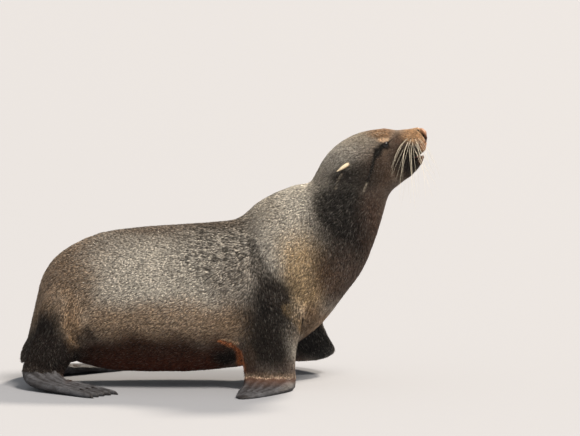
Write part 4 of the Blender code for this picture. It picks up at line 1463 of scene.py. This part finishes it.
def whisker_points(start, sign, row, rear):
    """A whisker leaves the pad sideways and droops; rear says how far back in its row it stands, 0 to 1."""
    longer = math.sin(math.pi * (0.15 + 0.75 * rear)) ** 1.2
    length = (WHISKER_LENGTH + WHISKER_LONGER * longer) * whisker_rng.uniform(0.62, 1.1)
    leaves = Vector((0.40 - 0.75 * rear, 0.85 * sign, -0.15 - 0.10 * row)).normalized()
    forward = 0.32 - 0.60 * rear + whisker_rng.uniform(-0.2, 0.2)
    sideways = (0.2 + whisker_rng.uniform(-0.15, 0.2)) * sign
    hangs = Vector((forward, sideways, -0.95)).normalized()
    stiffness = whisker_rng.uniform(0.6, 1.1)
    points = [start - leaves * STRAND_SINK]
    for step in range(WHISKER_STEPS):
        bend = (step / (WHISKER_STEPS - 1)) ** stiffness
        way = (leaves * (1 - bend) + hangs * bend).normalized()
        points.append(points[-1] + way * length / WHISKER_STEPS)
    return points


def brow_hair_points(start, sign, length):
    """A brow hair stands up and bends back over the head."""
    way = Vector((-0.45, 0.62 * sign, 0.55)).normalized()
    fall = Vector((-0.75, 0.35 * sign, -0.35)).normalized()
    return [start - way * STRAND_SINK + (way * t + (fall - way) * t * t / 2) * length
            for t in np.linspace(0, 1, 9)]


def whisker_keratin():
    """Whisker: smooth cream keratin with a low shine."""
    material, shader = new_material("whisker_keratin")
    connect(material, shader, {"Base Color": (*linear("f0e6cf"), 1.0), "Roughness": 0.38,
                               "Specular IOR Level": 0.5})
    return material


keratin = whisker_keratin()
for side, sign in SIDES.items():
    curve = bpy.data.curves.new("whiskers_" + side, "CURVE")
    for row, (height, front, back, count) in enumerate(WHISKER_ROWS):
        for number, x in enumerate(np.linspace(front, back, count)):
            start = side_hit(tree, x, height + whisker_rng.uniform(-0.001, 0.001), sign)
            points = whisker_points(start, sign, row, number / (count - 1))
            add_strand(curve, points, WHISKER_ROOT_RADIUS * whisker_rng.uniform(0.8, 1.1))
    for x, z, length in BROW_HAIRS:
        points = brow_hair_points(side_hit(tree, x, z, sign), sign, length)
        add_strand(curve, points, WHISKER_ROOT_RADIUS * 0.7)
    print("strands on the", side + ":", len(curve.splines))
    dress(add_object("whiskers_" + side, strand_mesh(curve)), keratin, "coat")

# %% [markdown]
# ## Tongue
#
# The mouth stands a little open. The tongue lies in the lower jaw, a flat pink pad with a shallow furrow.

# %% Tongue
TONGUE = (0.5130, 0.6090)  # x and z of its middle
TONGUE_HALF = (0.0225, 0.0145, 0.0052)  # half its length, width and thickness
FURROW = 0.0012
TONGUE_BUMP = 1 / 900  # metres, 1.1 mm


def wet_flesh():
    """Tongue: wet pink flesh with fine bumps."""
    material, shader = new_material("wet_flesh")
    place = add_node(material, "TexCoord").outputs["Object"]
    bumps = add_node(material, "TexNoise", {"Vector": place, "Scale": 1 / TONGUE_BUMP}).outputs["Fac"]
    bump = add_node(material, "Bump", {"Height": bumps, "Strength": 0.3, "Distance": 0.0004})
    connect(material, shader, {"Base Color": (*linear("b46a62"), 1.0), "Roughness": 0.25,
                               "Normal": bump.outputs["Normal"], "Subsurface Weight": 0.15,
                               "Subsurface Scale": 0.004})
    return material


tongue = bmesh.new()
bmesh.ops.create_uvsphere(tongue, u_segments=28, v_segments=18, radius=1.0)
slope = math.atan2(MOUTH_LINE[-1][1] - MOUTH_LINE[0][1], MOUTH_LINE[-1][0] - MOUTH_LINE[0][0])
for vert in tongue.verts:
    x, y, z = vert.co
    z = z * TONGUE_HALF[2] - FURROW * math.exp(-((y / 0.16) ** 2)) * (z > 0)
    vert.co = Vector((x * TONGUE_HALF[0], y * TONGUE_HALF[1] * (1 - 0.20 * x), z))
    vert.co.rotate(Matrix.Rotation(-slope, 3, "Y"))
    vert.co += Vector((TONGUE[0], MIDDLE, TONGUE[1]))
dress(add_piece("tongue", tongue), wet_flesh(), "bare_skin")
print("tongue slopes by", round(math.degrees(slope), 1), "degrees")

# %% [markdown]
# ## Teeth
#
# Between the lips the tips of the teeth show: a canine in each corner of each jaw and small incisors between.
# Each is a cone, set on the palate or on the floor of the mouth, which a ray up or down finds.

# %% Teeth
UP, DOWN = 1, -1
# (x, distance from the middle, which way it points, length, radius): a canine and two incisors in each jaw
TEETH = [(0.5270, 0.0125, UP, 0.0075, 0.0021), (0.5310, 0.0075, UP, 0.0030, 0.0013),
         (0.5325, 0.0030, UP, 0.0028, 0.0012), (0.5245, 0.0150, DOWN, 0.0080, 0.0023),
         (0.5330, 0.0085, DOWN, 0.0032, 0.0014), (0.5345, 0.0030, DOWN, 0.0028, 0.0012)]
STAIN_SPOT = 1 / 300  # metres, 3.3 mm
GUM_REACH = 0.015  # a tooth whose gum is further away than this is left out


def tooth_enamel():
    """Tooth: smooth ivory enamel with faint stains."""
    material, shader = new_material("tooth_enamel")
    colour, _ = mottled(material, tuple(linear("d8c8a2")), STAIN_SPOT, 0.75, 1.1)
    connect(material, shader, {"Base Color": colour, "Roughness": 0.25})
    return material


teeth = bmesh.new()
for x, away, way, length, radius in TEETH:
    for sign in SIDES.values():
        gap = Vector((x, MIDDLE + sign * away, float(np.interp(x, *zip(*MOUTH_LINE))) + 0.002))
        hit, normal = tree.ray_cast(gap, Vector((0, 0, -way)))[:2]
        if hit is None or normal.z * way < 0 or abs(hit.z - gap.z) > GUM_REACH:
            continue
        made = bmesh.ops.create_cone(teeth, cap_ends=True, segments=12, radius1=radius,
                                     radius2=radius * 0.12, depth=length)
        for vert in made["verts"]:
            lean = 0.16 * (vert.co.z + length / 2)
            vert.co = Vector((vert.co.x - lean, vert.co.y, way * (vert.co.z + length / 2 - 0.001))) + hit
bmesh.ops.recalc_face_normals(teeth, faces=teeth.faces)
print("teeth:", len(teeth.verts) // 24)
dress(add_piece("teeth", teeth), tooth_enamel(), "bare_skin")

# %% [markdown]
# ## Claws
#
# On the hind flipper the three middle toes carry narrow nails, well back from the tips, which the seal combs
# its coat with. The fingers have only small blunt nails. A claw is a cone drawn out flat and bent down.

# %% Claws
HIND_CLAW = (0.0190, 0.0060)  # length and width in metres
FORE_CLAW = (0.0055, 0.0034)
HORN_SPOT = 0.002


def claw_horn():
    """Claw: dark mottled horn, half glossy."""
    material, shader = new_material("claw_horn")
    colour, _ = mottled(material, tuple(linear("2b2320")), HORN_SPOT, 0.6, 1.3)
    connect(material, shader, {"Base Color": colour, "Roughness": 0.35})
    return material


def add_claw(bm, start, way, up, length, width):
    """A flat cone from start along way, arched a little."""
    made = bmesh.ops.create_cone(bm, cap_ends=True, segments=10, radius1=1.0, radius2=0.12, depth=1.0)
    across = way.cross(up).normalized()
    for vert in made["verts"]:
        share = vert.co.z + 0.5
        x, y = vert.co.x * width / 2, vert.co.y * width / 3.2
        arch = 0.08 * length * math.sin(math.pi * share)
        vert.co = start + way * (share * length) + across * x + up * (y + arch)


tree = skin_tree()
claws = bmesh.new()
for name in BLADES:
    hind = name.startswith("hind")
    for digit in range(1, 4) if hind else range(DIGITS):
        _, bend, tip = (Vector(place) for place in digit_line(name, digit))
        place = bend.lerp(tip, 0.50 if hind else 0.60 - 0.05 * digit)
        hit, normal = tree.ray_cast(place + Vector((0, 0, 0.2)), Vector((0, 0, -1)))[:2]
        way = (tip - bend).normalized()
        way = (way - normal * way.dot(normal)).normalized()
        add_claw(claws, hit - way * 0.001 + normal * 0.0008, way, normal, *(HIND_CLAW if hind else FORE_CLAW))
claws = add_piece("claws", claws)
dress(claws, claw_horn(), "bare_skin")
print("claws:", len(claws.data.vertices) // 20)

# %% [markdown]
# ## Floor and light
#
# The seal stands on a plain pale floor. A broad warm key lamp stands high on the side of the camera, in front
# of the face. A second one behind puts a bright edge on the back, the crown and the throat, and a pale sky
# fills the shadows.

# %% Stage and light
FLOOR_SIZE = 240.0
FLOOR_COLOUR = "979aa1"
SKY_COLOUR, SKY_STRENGTH = "e9e8e6", 0.62


def pale_concrete():
    """Smooth pale concrete without a pattern, so that only the shadow shows."""
    material, shader = new_material("pale_concrete")
    connect(material, shader, {"Base Color": (*linear(FLOOR_COLOUR), 1.0), "Roughness": 0.9})
    return material


ground = bmesh.new()
bmesh.ops.create_grid(ground, x_segments=1, y_segments=1, size=FLOOR_SIZE / 2)
floor = add_piece("floor", ground)
floor.data.materials.append(pale_concrete())


def add_lamp(name, way, strength, softness, colour):
    """A lamp so far away that it lights everything alike; softness is how wide it looks, in degrees."""
    lamp = add_object(name, bpy.data.lights.new(name, "SUN"))
    lamp.rotation_euler = (-Vector(way)).to_track_quat("-Z", "Y").to_euler()
    lamp.data.energy = strength
    lamp.data.angle = math.radians(softness)
    lamp.data.color = tuple(linear(colour))


add_lamp("key", (0.40, -0.36, 0.84), 4.0, 20, "fff3e4")
add_lamp("edge", (0.46, 0.62, 0.66), 4.3, 8, "fff0dc")
world = bpy.data.worlds.new("sky")
bpy.context.scene.world = world
world.use_nodes = True
sky = world.node_tree.nodes["Background"].inputs
sky["Color"].default_value = (*linear(SKY_COLOUR), 1.0)
sky["Strength"].default_value = SKY_STRENGTH
bpy.context.scene.view_settings.view_transform = "Standard"

# %% [markdown]
# ## Finish

# %% Finish
bpy.context.view_layer.update()
